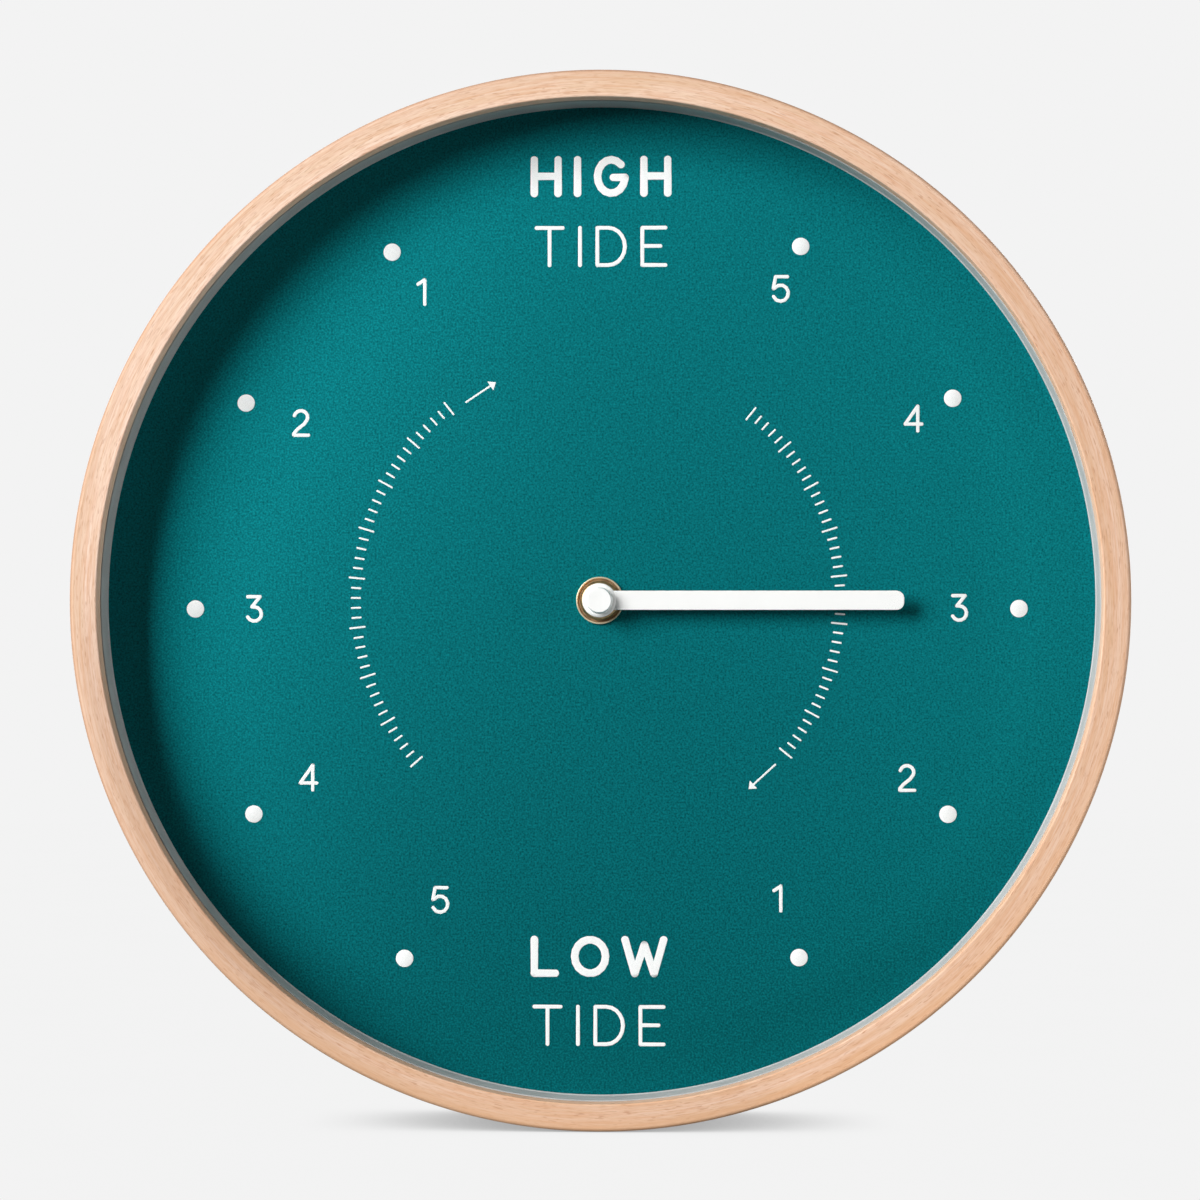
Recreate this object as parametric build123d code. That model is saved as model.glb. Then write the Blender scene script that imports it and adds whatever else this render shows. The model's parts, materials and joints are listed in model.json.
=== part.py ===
from build123d import *
from math import acos, cos, hypot, pi, radians, sin, sqrt, tan
import os

# A round wall clock with one hand that follows the tide. All lengths are in millimetres.
# X points right, Z up and the dial faces -Y. The origin is the centre of the rear (wall) plane.

# Wooden hoop
HOOP_DIAMETER = 300.0
HOOP_DEPTH = 45.0
LIP_WIDTH = 7.8
LIP_DEPTH = 6.0
HOOP_WALL = 5.4
FRONT_OUTER_ROUND = 2.0
FRONT_INNER_ROUND = 1.0
REAR_ROUND = 1.0

# Pane, inner ring, dial and board stacked behind the lip
STACK_CLEARANCE = 0.25
GLASS_THICK = 2.0
INNER_RING_DEPTH = 10.0
INNER_RING_WALL = 2.2
DIAL_THICK = 1.0
BOARD_THICK = 4.0
BUSHING_HOLE_CLEARANCE = 0.15

# Angles that hold the board in the hoop
BRACKET_COUNT = 4
BRACKET_FIRST_ANGLE = 45.0
BRACKET_LEG = 12.0
BRACKET_WIDTH = 12.0
BRACKET_THICK = 1.0
BRACKET_BEND = 0.8
BRACKET_GAP = 0.05
SCREW_RADIUS = 1.3
SCREW_LENGTH = 4.0
SCREW_TIP = 0.8
SCREW_HEAD_RADIUS = 2.6
SCREW_HEAD_HEIGHT = 1.5
SCREW_HOLE_CLEARANCE = 0.2
THREAD_CLEARANCE = 0.05
RECESS_WIDTH = 0.6
RECESS_LENGTH = 2.6
RECESS_DEPTH = 0.8

# Wood block and keyhole plate that the clock hangs from
BLOCK_HALF_WIDTH = 32.0
BLOCK_HEIGHT = 27.6
BLOCK_BOARD_GAP = 1.0
PLATE_SETBACK = 0.5
PLATE_THICK = 1.5
PLATE_WIDTH = 44.0
PLATE_CORNER = 3.0
PLATE_BOTTOM_GAP = 3.0
PLATE_EDGE_MARGIN = 2.5
KEYHOLE_RADIUS = 4.5
SLOT_RADIUS = 2.0
SLOT_TRAVEL = 7.5
POCKET_DEPTH = 8.0
POCKET_MARGIN = 1.0
HANGER_SCREW_INSET = 6.0
HANGER_SCREW_RADIUS = 1.3
HANGER_SCREW_HEAD_RADIUS = 2.5
HANGER_SCREW_LENGTH = 9.0

# Hub in front of the dial
BUSHING_RADIUS = 3.95
BUSHING_BORE_CLEARANCE = 0.05
BUSHING_PROUD = 0.3
BUSHING_FLANGE_RADIUS = 5.5
BUSHING_FLANGE_THICK = 0.7
WASHER_RADIUS = 6.8
WASHER_THICK = 0.5
WASHER_RIM_WIDTH = 0.5
WASHER_RIM_HEIGHT = 0.9
NUT_RADIUS = 5.7
NUT_THICK = 2.0
NUT_CHAMFER = 0.5
RUBBER_RADIUS = 10.0
RUBBER_THICK = 1.0

# Hand and cap
HAND_REACH = 87.0
HAND_WIDTH = 5.5
HAND_THICK = 0.6
HAND_LIFT = 4.8
HAND_TIP_ROUND = 2.2
HAND_BOSS_RADIUS = 4.9
HAND_BOSS_THICK = 1.0
COLLET_RADIUS = 3.4
COLLET_LENGTH = 1.4
PRESS_CLEARANCE = 0.02
CAP_RADIUS = 3.8
CAP_THICK = 2.6
CAP_ROUND = 0.9
CAP_STEM_LENGTH = 1.6

# Movement housing
CASE_WALL = 1.4
CASE_FRONT_THICK = 1.5
CASE_CORNER = 3.0
COVER_THICK = 1.5
COVER_GAP = 0.15
COVER_CHIP_GAP = 0.2
DIVIDER_THICK = 1.2
COVER_TONGUE_WIDTH = 5.0
COVER_TONGUE_THICK = 0.6
COVER_TONGUE_LENGTH = 1.5
COVER_TONGUE_SPACING = 24.0

# Battery and its contacts
CELL_RADIUS = 7.25
CELL_LENGTH = 50.5
CELL_NUB_RADIUS = 2.75
CELL_NUB_LENGTH = 1.0
CELL_ROUND = 0.6
CELL_CLEARANCE = 0.3
CONTACT_ROOM = 1.35
CONTACT_THICK = 0.4
CONTACT_WALL_GAP = 0.05
CONTACT_CELL_GAP = 0.1
CONTACT_PLATE_HEIGHT = 9.8
CONTACT_DIMPLE_RADIUS = 2.5
CONTACT_STRIP_DEPTH = 2.4
CONTACT_TOP = 15.0
CONTACT_FOOT_HEIGHT = 3.0
CONTACT_FOOT_WIDTH = 2.4
CONTACT_NOTCH_CLEARANCE = 0.3

# Shaft fits and the stack of wheels, from the front wall of the housing backwards
RUNNING_CLEARANCE = 0.05
END_FLOAT = 0.3
WHEEL_THICK = 0.8
HOUR_WHEEL_THICK = 1.0
SETTING_LEVEL_GAP = 0.4
TRAIN_LEVEL_GAP = 0.6
PINION_LEAD = 0.1
PINION_OVERRUN = 0.3
SPRING_HEIGHT = 0.5
SPRING_GAP = 0.05
SPRING_RADIUS = 3.2
SPRING_STRIP = 0.25
TRAIN_PLATE_GAP = 0.85
TRAIN_PLATE_THICK = 1.2
PIVOT_RADIUS = 0.35
PIVOT_ENGAGEMENT = 0.8
POST_RADIUS = 0.9
POST_HEIGHT = 2.9
MINUTE_POST_RADIUS = 0.6
HOUR_TUBE_RADIUS = 2.5
CENTRE_ARBOR_RADIUS = 1.6
ARBOR_TUBE_CLEARANCE = 0.1
ARBOR_SEAT_RADIUS = 1.0
ARBOR_SEAT_OVERRUN = 0.2
ARBOR_BORE_DEPTH = 1.7
BACKLASH = 0.09

# Gears: centre distances, tooth counts and the directions from one arbor to the next
MINUTE_DISTANCE = 8.0
SETTING_DISTANCE = 8.0
THIRD_DISTANCE = 9.0
FIFTH_DISTANCE = 9.1
ROTOR_DISTANCE = 7.2
MINUTE_DIRECTION = 0.0
SETTING_DIRECTION = 30.0
THIRD_DIRECTION = 120.0
FIFTH_DIRECTION = 200.0
ROTOR_DIRECTION = 130.0
HOUR_TEETH = 40
MINUTE_PINION_TEETH = 10
MINUTE_TEETH = 36
CANNON_TEETH = 12
SETTING_TEETH = 12
CENTRE_TEETH = 64
THIRD_PINION_TEETH = 8
THIRD_TEETH = 60
SECOND_PINION_TEETH = 8
SECOND_TEETH = 60
FIFTH_PINION_TEETH = 10
FIFTH_TEETH = 60
ROTOR_TEETH = 12
PRESSURE_ANGLE = 20.0
SHIFT_SHARE = 0.45
ADDENDUM_SHARE = 0.7
DEDENDUM_SHARE = 1.3
CROSSING_COUNT = 5
CROSSING_PLACE_SHARE = 0.6
CROSSING_RADIUS_SHARE = 0.17

# Motor
MAGNET_RADIUS = 2.5
MAGNET_THICK = 2.0
MAGNET_BORE_RADIUS = 0.6
ROTOR_AIR_GAP = 0.3
ROTOR_POST_HEIGHT = 1.8
ROTOR_POST_RADIUS = 1.2
STATOR_DEPTH = 3.0
STATOR_THICK = 1.0
STATOR_MARGIN = 0.7
STATOR_SPLIT = 0.6
STATOR_FOOT_HEIGHT = 3.5
COIL_PILLAR_GAP = 0.7
COIL_WALL_GAP = 0.4
COIL_BOTTOM = 5.0
COIL_TOP = 15.0
COIL_FLANGE_RADIUS = 3.6
COIL_FLANGE_THICK = 0.8
COIL_TUBE_RADIUS = 1.6
COIL_WINDING_RADIUS = 3.3
CORE_WIDTH = 2.0
CORE_THICK = 1.0
CORE_CLEARANCE = 0.05
CORE_OVERRUN = 4.2
CORE_DIVIDER_GAP = 1.1

# Circuit board
PCB_THICK = 0.8
PCB_GAP = 0.4
PCB_WALL_GAP = 0.9
PCB_BOTTOM = 9.0
PCB_TOP = 25.7
CHIP_RADIUS = 3.5
CHIP_HEIGHT = 0.7
CHIP_SPACING = 6.0
CRYSTAL_RADIUS = 1.0
CRYSTAL_LENGTH = 6.0
CRYSTAL_PLACE = 4.0
CRYSTAL_HEIGHT = 22.5
CRYSTAL_GAP = 0.1

# Pillars of the housing
PILLAR_BASE_RADIUS = 1.8
PILLAR_RADIUS = 1.2
PILLAR_PIN_RADIUS = 0.8
PILLAR_CLEARANCE = 0.05
LEFT_PILLARS_U = 16.5
LEFT_LOW_PILLAR_V = 7.6
LEFT_HIGH_PILLAR_V = 11.0
RIGHT_LOW_PILLAR_U = 17.0
RIGHT_LOW_PILLAR_V = 7.5
RIGHT_HIGH_PILLAR_U = 13.0
RIGHT_HIGH_PILLAR_V = 13.0
PCB_POST_INSET = 3.7
PCB_POST_RADIUS = 1.6
PCB_PIN_PROUD = 0.3
TRAIN_PLATE_MARGIN = 2.0

# Setting knob
SETTING_ARBOR_RADIUS = 1.0
SETTING_PIVOT_RADIUS = 0.6
SETTING_PIVOT_DEPTH = 0.8
KNOB_RADIUS = 5.0
KNOB_THICK = 2.7
KNOB_FLUTES = 18
KNOB_FLUTE_RADIUS = 0.45
KNOB_ROUND = 0.4
KNOB_GRIP_DEPTH = 2.0

# How near two places are before they count as the same
TOUCH = 0.01

# Places worked out from the values above
hoop_radius = HOOP_DIAMETER / 2
lip_radius = hoop_radius - LIP_WIDTH
rebate_radius = hoop_radius - HOOP_WALL
stack_radius = rebate_radius - STACK_CLEARANCE
front_face = -HOOP_DEPTH
glass_front = front_face + LIP_DEPTH
glass_back = glass_front + GLASS_THICK
dial_front = glass_back + INNER_RING_DEPTH
board_front = dial_front + DIAL_THICK
board_back = board_front + BOARD_THICK
case_front = board_back + RUBBER_THICK
case_inner = case_front + CASE_FRONT_THICK

bushing_hole = BUSHING_RADIUS + BUSHING_HOLE_CLEARANCE
washer_front = dial_front - WASHER_THICK
nut_front = washer_front - NUT_THICK
bushing_front = nut_front - BUSHING_PROUD
hand_back = dial_front - HAND_LIFT
blade_front = hand_back - HAND_THICK
boss_front = hand_back - HAND_BOSS_THICK
tube_bore = CENTRE_ARBOR_RADIUS + ARBOR_TUBE_CLEARANCE
arbor_front = boss_front + CAP_STEM_LENGTH + END_FLOAT

hour_front = case_inner + END_FLOAT
hour_back = hour_front + HOUR_WHEEL_THICK
minute_front = hour_back + SETTING_LEVEL_GAP
minute_back = minute_front + WHEEL_THICK
cannon_front = minute_front - PINION_LEAD
cannon_back = minute_back + PINION_OVERRUN
centre_front = cannon_back + SPRING_HEIGHT + SPRING_GAP
centre_back = centre_front + WHEEL_THICK
third_front = centre_back + TRAIN_LEVEL_GAP
third_back = third_front + WHEEL_THICK
second_front = third_back + TRAIN_LEVEL_GAP
second_back = second_front + WHEEL_THICK
fifth_front = second_back + TRAIN_LEVEL_GAP
fifth_back = fifth_front + WHEEL_THICK
plate_front = fifth_back + TRAIN_PLATE_GAP
plate_back = plate_front + TRAIN_PLATE_THICK
pcb_front = plate_back + PCB_GAP
pcb_back = pcb_front + PCB_THICK
stator_front = case_inner + STATOR_DEPTH
stator_back = stator_front + STATOR_THICK
coil_axis = stator_back + CORE_THICK / 2
post_top = case_inner + POST_HEIGHT
case_rim = pcb_back + CHIP_HEIGHT + COVER_CHIP_GAP
case_back = case_rim + COVER_THICK

stator_left = LEFT_PILLARS_U + PILLAR_BASE_RADIUS
coil_centre = stator_left + COIL_PILLAR_GAP + COIL_FLANGE_RADIUS
coil_reach = coil_centre + COIL_FLANGE_RADIUS + COIL_WALL_GAP
inner_half = max(coil_reach, CELL_LENGTH / 2 + CONTACT_ROOM)
case_half = inner_half + CASE_WALL
pcb_half = inner_half - PCB_WALL_GAP
inner_high = PCB_TOP + PCB_WALL_GAP
case_high = inner_high + CASE_WALL
divider_high = -COIL_BOTTOM - CORE_OVERRUN - CORE_DIVIDER_GAP
divider_low = divider_high - DIVIDER_THICK
cell_v = divider_low - CELL_CLEARANCE - CELL_RADIUS
inner_low = cell_v - CELL_RADIUS - CELL_CLEARANCE
case_low = inner_low - CASE_WALL


# Geometry helpers
def slab(outline, front, back, u=0, v=0):
    """A flat piece with this outline, from depth front to depth back."""
    return extrude(Plane.XZ.offset(-back) * Pos(u, v) * outline, back - front)


def rod(radius, front, back, u=0, v=0):
    """A round rod along Y."""
    return slab(Circle(radius), front, back, u, v)


def ring(radius, bore, front, back, u=0, v=0):
    """A flat ring or tube along Y."""
    return slab(Circle(radius) - Circle(bore), front, back, u, v)


def turned(points, u=0, v=0):
    """A turned piece from its half section, a list of (radius, depth)."""
    return Pos(u, 0, v) * revolve(make_face(Polyline(*points, close=True)), Axis.Y)


def block(left, right, low, high, front, back):
    """A rectangular block between these sides."""
    sketch = Rectangle(right - left, high - low)
    return slab(sketch, front, back, (left + right) / 2, (low + high) / 2)


def rims(piece, radius, depth):
    """The round edges of a piece about the centre line with this radius, at this depth."""
    circles = piece.edges().filter_by(GeomType.CIRCLE)
    return [e for e in circles if abs(e.radius - radius) < TOUCH and abs(e.arc_center.Y - depth) < TOUCH]


def step_from(place, distance, direction):
    """The place at this distance and direction (degrees) from another."""
    return place[0] + distance * cos(radians(direction)), place[1] + distance * sin(radians(direction))


# Gear geometry
def involute(angle):
    return tan(angle) - angle


def half_tooth(radius, teeth, module, shift):
    """Half the angle that a tooth takes up at this radius."""
    pressure = radians(PRESSURE_ANGLE)
    pitch_radius = teeth * module / 2
    base_radius = pitch_radius * cos(pressure)
    thickness = module * (pi / 2 + 2 * shift * tan(pressure)) - BACKLASH
    half_angle = thickness / (2 * pitch_radius) + involute(pressure)
    if radius <= base_radius:
        return half_angle
    return half_angle - involute(acos(base_radius / radius))


def gear_face(teeth, module, shift, phase):
    """The toothed outline of a gear. phase is the direction of one tooth in degrees."""
    pitch_radius = teeth * module / 2
    tip = pitch_radius + module * (ADDENDUM_SHARE + shift)
    root = pitch_radius - module * (DEDENDUM_SHARE - shift)
    middle = (tip + root) / 2
    root_half = half_tooth(root, teeth, module, shift)
    middle_half = half_tooth(middle, teeth, module, shift)
    tip_half = half_tooth(tip, teeth, module, shift)
    edges = []
    for tooth in range(teeth):
        centre = radians(phase) + 2 * pi * tooth / teeth
        following = centre + 2 * pi / teeth

        def at(radius, angle):
            return (radius * cos(angle), radius * sin(angle))

        up = [at(root, centre - root_half), at(middle, centre - middle_half), at(tip, centre - tip_half)]
        down = [at(tip, centre + tip_half), at(middle, centre + middle_half), at(root, centre + root_half)]
        next_root = at(root, following - root_half)
        edges.append(Edge.make_three_point_arc(*up))
        edges.append(Edge.make_three_point_arc(up[2], at(tip, centre), down[0]))
        edges.append(Edge.make_three_point_arc(*down))
        edges.append(Edge.make_three_point_arc(down[2], at(root, (centre + following) / 2), next_root))
    return Face(Wire(edges))


def mesh_phase(teeth, phase, direction, mate_teeth):
    """The phase of the mate, in the given direction from a gear, so that their teeth interleave."""
    pitch = 360 / teeth
    mate_pitch = 360 / mate_teeth
    share = ((direction - phase) / pitch) % 1
    return direction + 180 - (0.5 - share) * mate_pitch


def crossed(teeth, module):
    """The round holes that lighten a wheel."""
    pitch_radius = teeth * module / 2
    hole = Circle(pitch_radius * CROSSING_RADIUS_SHARE)
    return Sketch() + PolarLocations(pitch_radius * CROSSING_PLACE_SHARE, CROSSING_COUNT) * hole


# Arbor places in the plane of the dial, (X, Z) from the centre, and the gear modules
centre_place = (0, 0)
minute_place = step_from(centre_place, MINUTE_DISTANCE, MINUTE_DIRECTION)
setting_place = step_from(minute_place, SETTING_DISTANCE, SETTING_DIRECTION)
third_place = step_from(centre_place, THIRD_DISTANCE, THIRD_DIRECTION)
fifth_place = step_from(centre_place, FIFTH_DISTANCE, FIFTH_DIRECTION)
rotor_place = step_from(fifth_place, ROTOR_DISTANCE, ROTOR_DIRECTION)
hour_module = 2 * MINUTE_DISTANCE / (HOUR_TEETH + MINUTE_PINION_TEETH)
cannon_module = 2 * MINUTE_DISTANCE / (MINUTE_TEETH + CANNON_TEETH)
setting_module = 2 * SETTING_DISTANCE / (MINUTE_TEETH + SETTING_TEETH)
centre_module = 2 * THIRD_DISTANCE / (CENTRE_TEETH + THIRD_PINION_TEETH)
third_module = 2 * THIRD_DISTANCE / (THIRD_TEETH + SECOND_PINION_TEETH)
second_module = 2 * FIFTH_DISTANCE / (SECOND_TEETH + FIFTH_PINION_TEETH)
fifth_module = 2 * ROTOR_DISTANCE / (FIFTH_TEETH + ROTOR_TEETH)
pillar_places = {
    "left_low": (-LEFT_PILLARS_U, -LEFT_LOW_PILLAR_V),
    "left_high": (-LEFT_PILLARS_U, LEFT_HIGH_PILLAR_V),
    "right_low": (RIGHT_LOW_PILLAR_U, -RIGHT_LOW_PILLAR_V),
    "right_high": (RIGHT_HIGH_PILLAR_U, RIGHT_HIGH_PILLAR_V),
}


# Hoop, pane, inner ring, dial and board
def make_frame_ring():
    hoop = turned(
        [
            (lip_radius, front_face),
            (hoop_radius, front_face),
            (hoop_radius, 0),
            (rebate_radius, 0),
            (rebate_radius, glass_front),
            (lip_radius, glass_front),
        ]
    )
    hoop = fillet(rims(hoop, hoop_radius, front_face), FRONT_OUTER_ROUND)
    hoop = fillet(rims(hoop, lip_radius, front_face), FRONT_INNER_ROUND)
    hoop = fillet(rims(hoop, hoop_radius, 0), REAR_ROUND)
    for seat in bracket_seats():
        hoop -= seat["wall_plane"] * Cylinder(
            SCREW_RADIUS + THREAD_CLEARANCE, 2 * (SCREW_LENGTH + THREAD_CLEARANCE)
        )
    return hoop


def make_front_glass():
    return rod(stack_radius, glass_front, glass_back)


def make_spacer_ring():
    return ring(stack_radius, stack_radius - INNER_RING_WALL, glass_back, dial_front)


def make_dial_plate():
    return ring(stack_radius, bushing_hole, dial_front, board_front)


def make_backing_board():
    board = ring(stack_radius, bushing_hole, board_front, board_back)
    for seat in bracket_seats():
        board -= seat["board_plane"] * Cylinder(
            SCREW_RADIUS + THREAD_CLEARANCE, 2 * (SCREW_LENGTH + THREAD_CLEARANCE)
        )
    return board


# Angles and screws that hold the board
def bracket_seats():
    """For each angle, its local frame and the two screw seats. Local x runs outwards."""
    flat = sqrt(rebate_radius**2 - (BRACKET_WIDTH / 2) ** 2) - BRACKET_GAP
    seats = []
    for index in range(BRACKET_COUNT):
        turn = BRACKET_FIRST_ANGLE + 360 / BRACKET_COUNT * index
        frame = Rot(0, -turn, 0)
        wall_spot = frame * Pos(flat - BRACKET_THICK, board_back + BRACKET_LEG / 2 + BRACKET_THICK, 0)
        board_spot = frame * Pos(flat - BRACKET_LEG / 2 - BRACKET_THICK, board_back + BRACKET_THICK, 0)
        seats.append(
            {
                "frame": frame,
                "flat": flat,
                "wall_plane": wall_spot * Rot(0, -90, 0),
                "board_plane": board_spot * Rot(-90, 0, 0),
            }
        )
    return seats


def make_retaining_brackets():
    brackets = []
    for seat in bracket_seats():
        flat = seat["flat"]
        corner = (flat, board_back)
        outline = Polyline(
            corner,
            (flat, board_back + BRACKET_LEG),
            (flat - BRACKET_THICK, board_back + BRACKET_LEG),
            (flat - BRACKET_THICK, board_back + BRACKET_THICK),
            (flat - BRACKET_LEG, board_back + BRACKET_THICK),
            (flat - BRACKET_LEG, board_back),
            close=True,
        )
        bracket = extrude(make_face(outline), BRACKET_WIDTH / 2, both=True)
        edges = bracket.edges()
        outer_corner = [e for e in edges if hypot(e.center().X - flat, e.center().Y - board_back) < TOUCH]
        bracket = seat["frame"] * fillet(outer_corner, BRACKET_BEND)
        for spot in ("wall_plane", "board_plane"):
            bracket -= seat[spot] * Cylinder(SCREW_RADIUS + SCREW_HOLE_CLEARANCE, BRACKET_LEG / 2)
        brackets.append(bracket)
    return brackets


def pan_screw():
    """A pan head screw along Z, with its head on the seat at height zero."""
    body = revolve(
        make_face(
            Polyline(
                (0, -SCREW_LENGTH),
                (SCREW_TIP / 2, -SCREW_LENGTH),
                (SCREW_RADIUS, SCREW_TIP - SCREW_LENGTH),
                (SCREW_RADIUS, 0),
                (SCREW_HEAD_RADIUS, 0),
                (SCREW_HEAD_RADIUS, SCREW_HEAD_HEIGHT),
                (0, SCREW_HEAD_HEIGHT),
                close=True,
            ).rotate(Axis.X, 90)
        ),
        Axis.Z,
    )
    top = [e for e in body.edges().filter_by(GeomType.CIRCLE) if e.arc_center.Z > SCREW_HEAD_HEIGHT - TOUCH]
    body = fillet(top, SCREW_HEAD_HEIGHT / 2)
    return body - cross_recess(SCREW_HEAD_HEIGHT, RECESS_LENGTH)


def cross_recess(height, length):
    """The cross shaped recess of a screw head whose top is at this height."""
    blade = Pos(0, 0, height) * Box(length, RECESS_WIDTH, 2 * RECESS_DEPTH)
    return blade + Rot(0, 0, 90) * blade


def make_bracket_screws():
    return [seat[spot] * pan_screw() for seat in bracket_seats() for spot in ("board_plane", "wall_plane")]


# Hanger
hanger_back = -PLATE_SETBACK
hanger_seat = hanger_back - PLATE_THICK
block_bottom = rebate_radius - BLOCK_HEIGHT
hanger_bottom = block_bottom + PLATE_BOTTOM_GAP
keyhole_v = hanger_bottom + PLATE_EDGE_MARGIN + KEYHOLE_RADIUS
hanger_top = keyhole_v + SLOT_TRAVEL + SLOT_RADIUS + PLATE_EDGE_MARGIN
hanger_middle_v = (hanger_bottom + hanger_top) / 2
hanger_screw_u = PLATE_WIDTH / 2 - HANGER_SCREW_INSET


def make_hanger_block():
    outline = Circle(stack_radius) & Pos(0, block_bottom + hoop_radius / 2) * Rectangle(
        2 * BLOCK_HALF_WIDTH, hoop_radius
    )
    wood = slab(outline, board_back + BLOCK_BOARD_GAP, hanger_seat)
    pocket_half = KEYHOLE_RADIUS + POCKET_MARGIN
    wood -= block(
        -pocket_half,
        pocket_half,
        keyhole_v - pocket_half,
        keyhole_v + SLOT_TRAVEL + SLOT_RADIUS + POCKET_MARGIN,
        hanger_seat - POCKET_DEPTH,
        hanger_seat,
    )
    for side in (-1, 1):
        wood -= rod(
            HANGER_SCREW_RADIUS + THREAD_CLEARANCE,
            hanger_back - HANGER_SCREW_LENGTH - THREAD_CLEARANCE,
            hanger_seat,
            side * hanger_screw_u,
            hanger_middle_v,
        )
    return wood


def make_hanger_plate():
    outline = RectangleRounded(PLATE_WIDTH, hanger_top - hanger_bottom, PLATE_CORNER)
    outline = Pos(0, hanger_middle_v) * outline
    outline -= Pos(0, keyhole_v) * Circle(KEYHOLE_RADIUS)
    outline -= Pos(0, keyhole_v + SLOT_TRAVEL) * Circle(SLOT_RADIUS)
    outline -= Pos(0, keyhole_v + SLOT_TRAVEL / 2) * Rectangle(2 * SLOT_RADIUS, SLOT_TRAVEL)
    plate = slab(outline, hanger_seat, hanger_back)
    for side in (-1, 1):
        plate -= Pos(side * hanger_screw_u, 0, hanger_middle_v) * countersink(THREAD_CLEARANCE)
    return plate


def countersink(clearance):
    """The outer shape of a countersunk screw in the plate, grown by a clearance."""
    head = HANGER_SCREW_HEAD_RADIUS + clearance
    shank = HANGER_SCREW_RADIUS + clearance
    return turned(
        [
            (0, hanger_back),
            (head, hanger_back),
            (shank, hanger_back - head + shank),
            (shank, hanger_back - HANGER_SCREW_LENGTH),
            (0, hanger_back - HANGER_SCREW_LENGTH - clearance),
        ]
    )


def make_hanger_screws():
    screws = []
    for side in (-1, 1):
        recess = Rot(-90, 0, 0) * cross_recess(0, RECESS_LENGTH)
        screw = countersink(0) - Pos(0, hanger_back, 0) * recess
        screws.append(Pos(side * hanger_screw_u, 0, hanger_middle_v) * screw)
    return screws


# Hub, hand and cap
def make_threaded_bushing():
    bore = HOUR_TUBE_RADIUS + BUSHING_BORE_CLEARANCE
    return turned(
        [
            (bore, bushing_front),
            (BUSHING_RADIUS, bushing_front),
            (BUSHING_RADIUS, case_inner - BUSHING_FLANGE_THICK),
            (BUSHING_FLANGE_RADIUS, case_inner - BUSHING_FLANGE_THICK),
            (BUSHING_FLANGE_RADIUS, case_inner),
            (bore, case_inner),
        ]
    )


def make_dial_washer():
    rim_front = dial_front - WASHER_RIM_HEIGHT
    rim_inner = WASHER_RADIUS - WASHER_RIM_WIDTH
    return turned(
        [
            (bushing_hole, dial_front),
            (WASHER_RADIUS, dial_front),
            (WASHER_RADIUS, rim_front),
            (rim_inner, rim_front),
            (rim_inner - WASHER_RIM_WIDTH / 2, washer_front),
            (bushing_hole, washer_front),
        ]
    )


def make_hub_nut():
    bore = BUSHING_RADIUS + THREAD_CLEARANCE
    return turned(
        [
            (bore, washer_front),
            (NUT_RADIUS, washer_front),
            (NUT_RADIUS, nut_front + NUT_CHAMFER),
            (NUT_RADIUS - NUT_CHAMFER, nut_front),
            (bore, nut_front),
        ]
    )


def make_rubber_washer():
    return ring(RUBBER_RADIUS, bushing_hole, board_back, case_front)


def make_tide_hand():
    blade = Pos(HAND_REACH / 2, 0) * Rectangle(HAND_REACH, HAND_WIDTH)
    tip = blade.vertices().group_by(Axis.X)[-1]
    blade = fillet(tip, HAND_TIP_ROUND)
    hand = slab(blade, blade_front, hand_back) + rod(HAND_BOSS_RADIUS, boss_front, hand_back)
    hand += rod(COLLET_RADIUS, hand_back, hand_back + COLLET_LENGTH)
    return hand - rod(HOUR_TUBE_RADIUS + PRESS_CLEARANCE, boss_front, hand_back + COLLET_LENGTH)


def make_hand_cap():
    cap_front = boss_front - CAP_THICK
    cap = rod(CAP_RADIUS, cap_front, boss_front)
    cap = fillet(rims(cap, CAP_RADIUS, cap_front), CAP_ROUND)
    return cap + rod(CENTRE_ARBOR_RADIUS, boss_front, boss_front + CAP_STEM_LENGTH)


# Housing of the movement
def case_outline(low, high, half, corner):
    """The outline of the housing between two heights, with all corners rounded."""
    return Pos(0, (low + high) / 2) * RectangleRounded(2 * half, high - low, corner)


def make_movement_front_case():
    inner_corner = CASE_CORNER - CASE_WALL
    case = slab(case_outline(case_low, case_high, case_half, CASE_CORNER), case_front, case_back)
    bay = case_outline(inner_low, divider_low, inner_half, inner_corner)
    chamber = case_outline(divider_high, inner_high, inner_half, inner_corner)
    case -= slab(bay, case_inner, case_back)
    case -= slab(chamber, case_inner, case_back)
    case -= block(-case_half, case_half, divider_high, case_high, case_rim, case_back)
    case -= contact_notches()
    for place in pillar_places.values():
        case += pillar(place)
    for side in (-1, 1):
        spot = (side * (pcb_half - PCB_POST_INSET), PCB_TOP - PCB_POST_INSET)
        case += rod(PCB_POST_RADIUS, case_inner, pcb_front, *spot)
        case += rod(PILLAR_PIN_RADIUS, pcb_front, pcb_back + PCB_PIN_PROUD, *spot)
    case += rod(MINUTE_POST_RADIUS, case_inner, post_top, *minute_place)
    for place in (third_place, fifth_place):
        case += post(place, POST_RADIUS, post_top, PIVOT_RADIUS, PIVOT_ENGAGEMENT)
    rotor_top = case_inner + ROTOR_POST_HEIGHT
    case += post(rotor_place, ROTOR_POST_RADIUS, rotor_top, PIVOT_RADIUS, PIVOT_ENGAGEMENT)
    setting_top = cannon_front - END_FLOAT
    case += post(setting_place, ROTOR_POST_RADIUS, setting_top, SETTING_PIVOT_RADIUS, SETTING_PIVOT_DEPTH)
    case -= rod(BUSHING_RADIUS + THREAD_CLEARANCE, case_front, case_inner)
    flange_seat = case_inner - BUSHING_FLANGE_THICK
    return case - rod(BUSHING_FLANGE_RADIUS + THREAD_CLEARANCE, flange_seat, case_inner)


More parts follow.
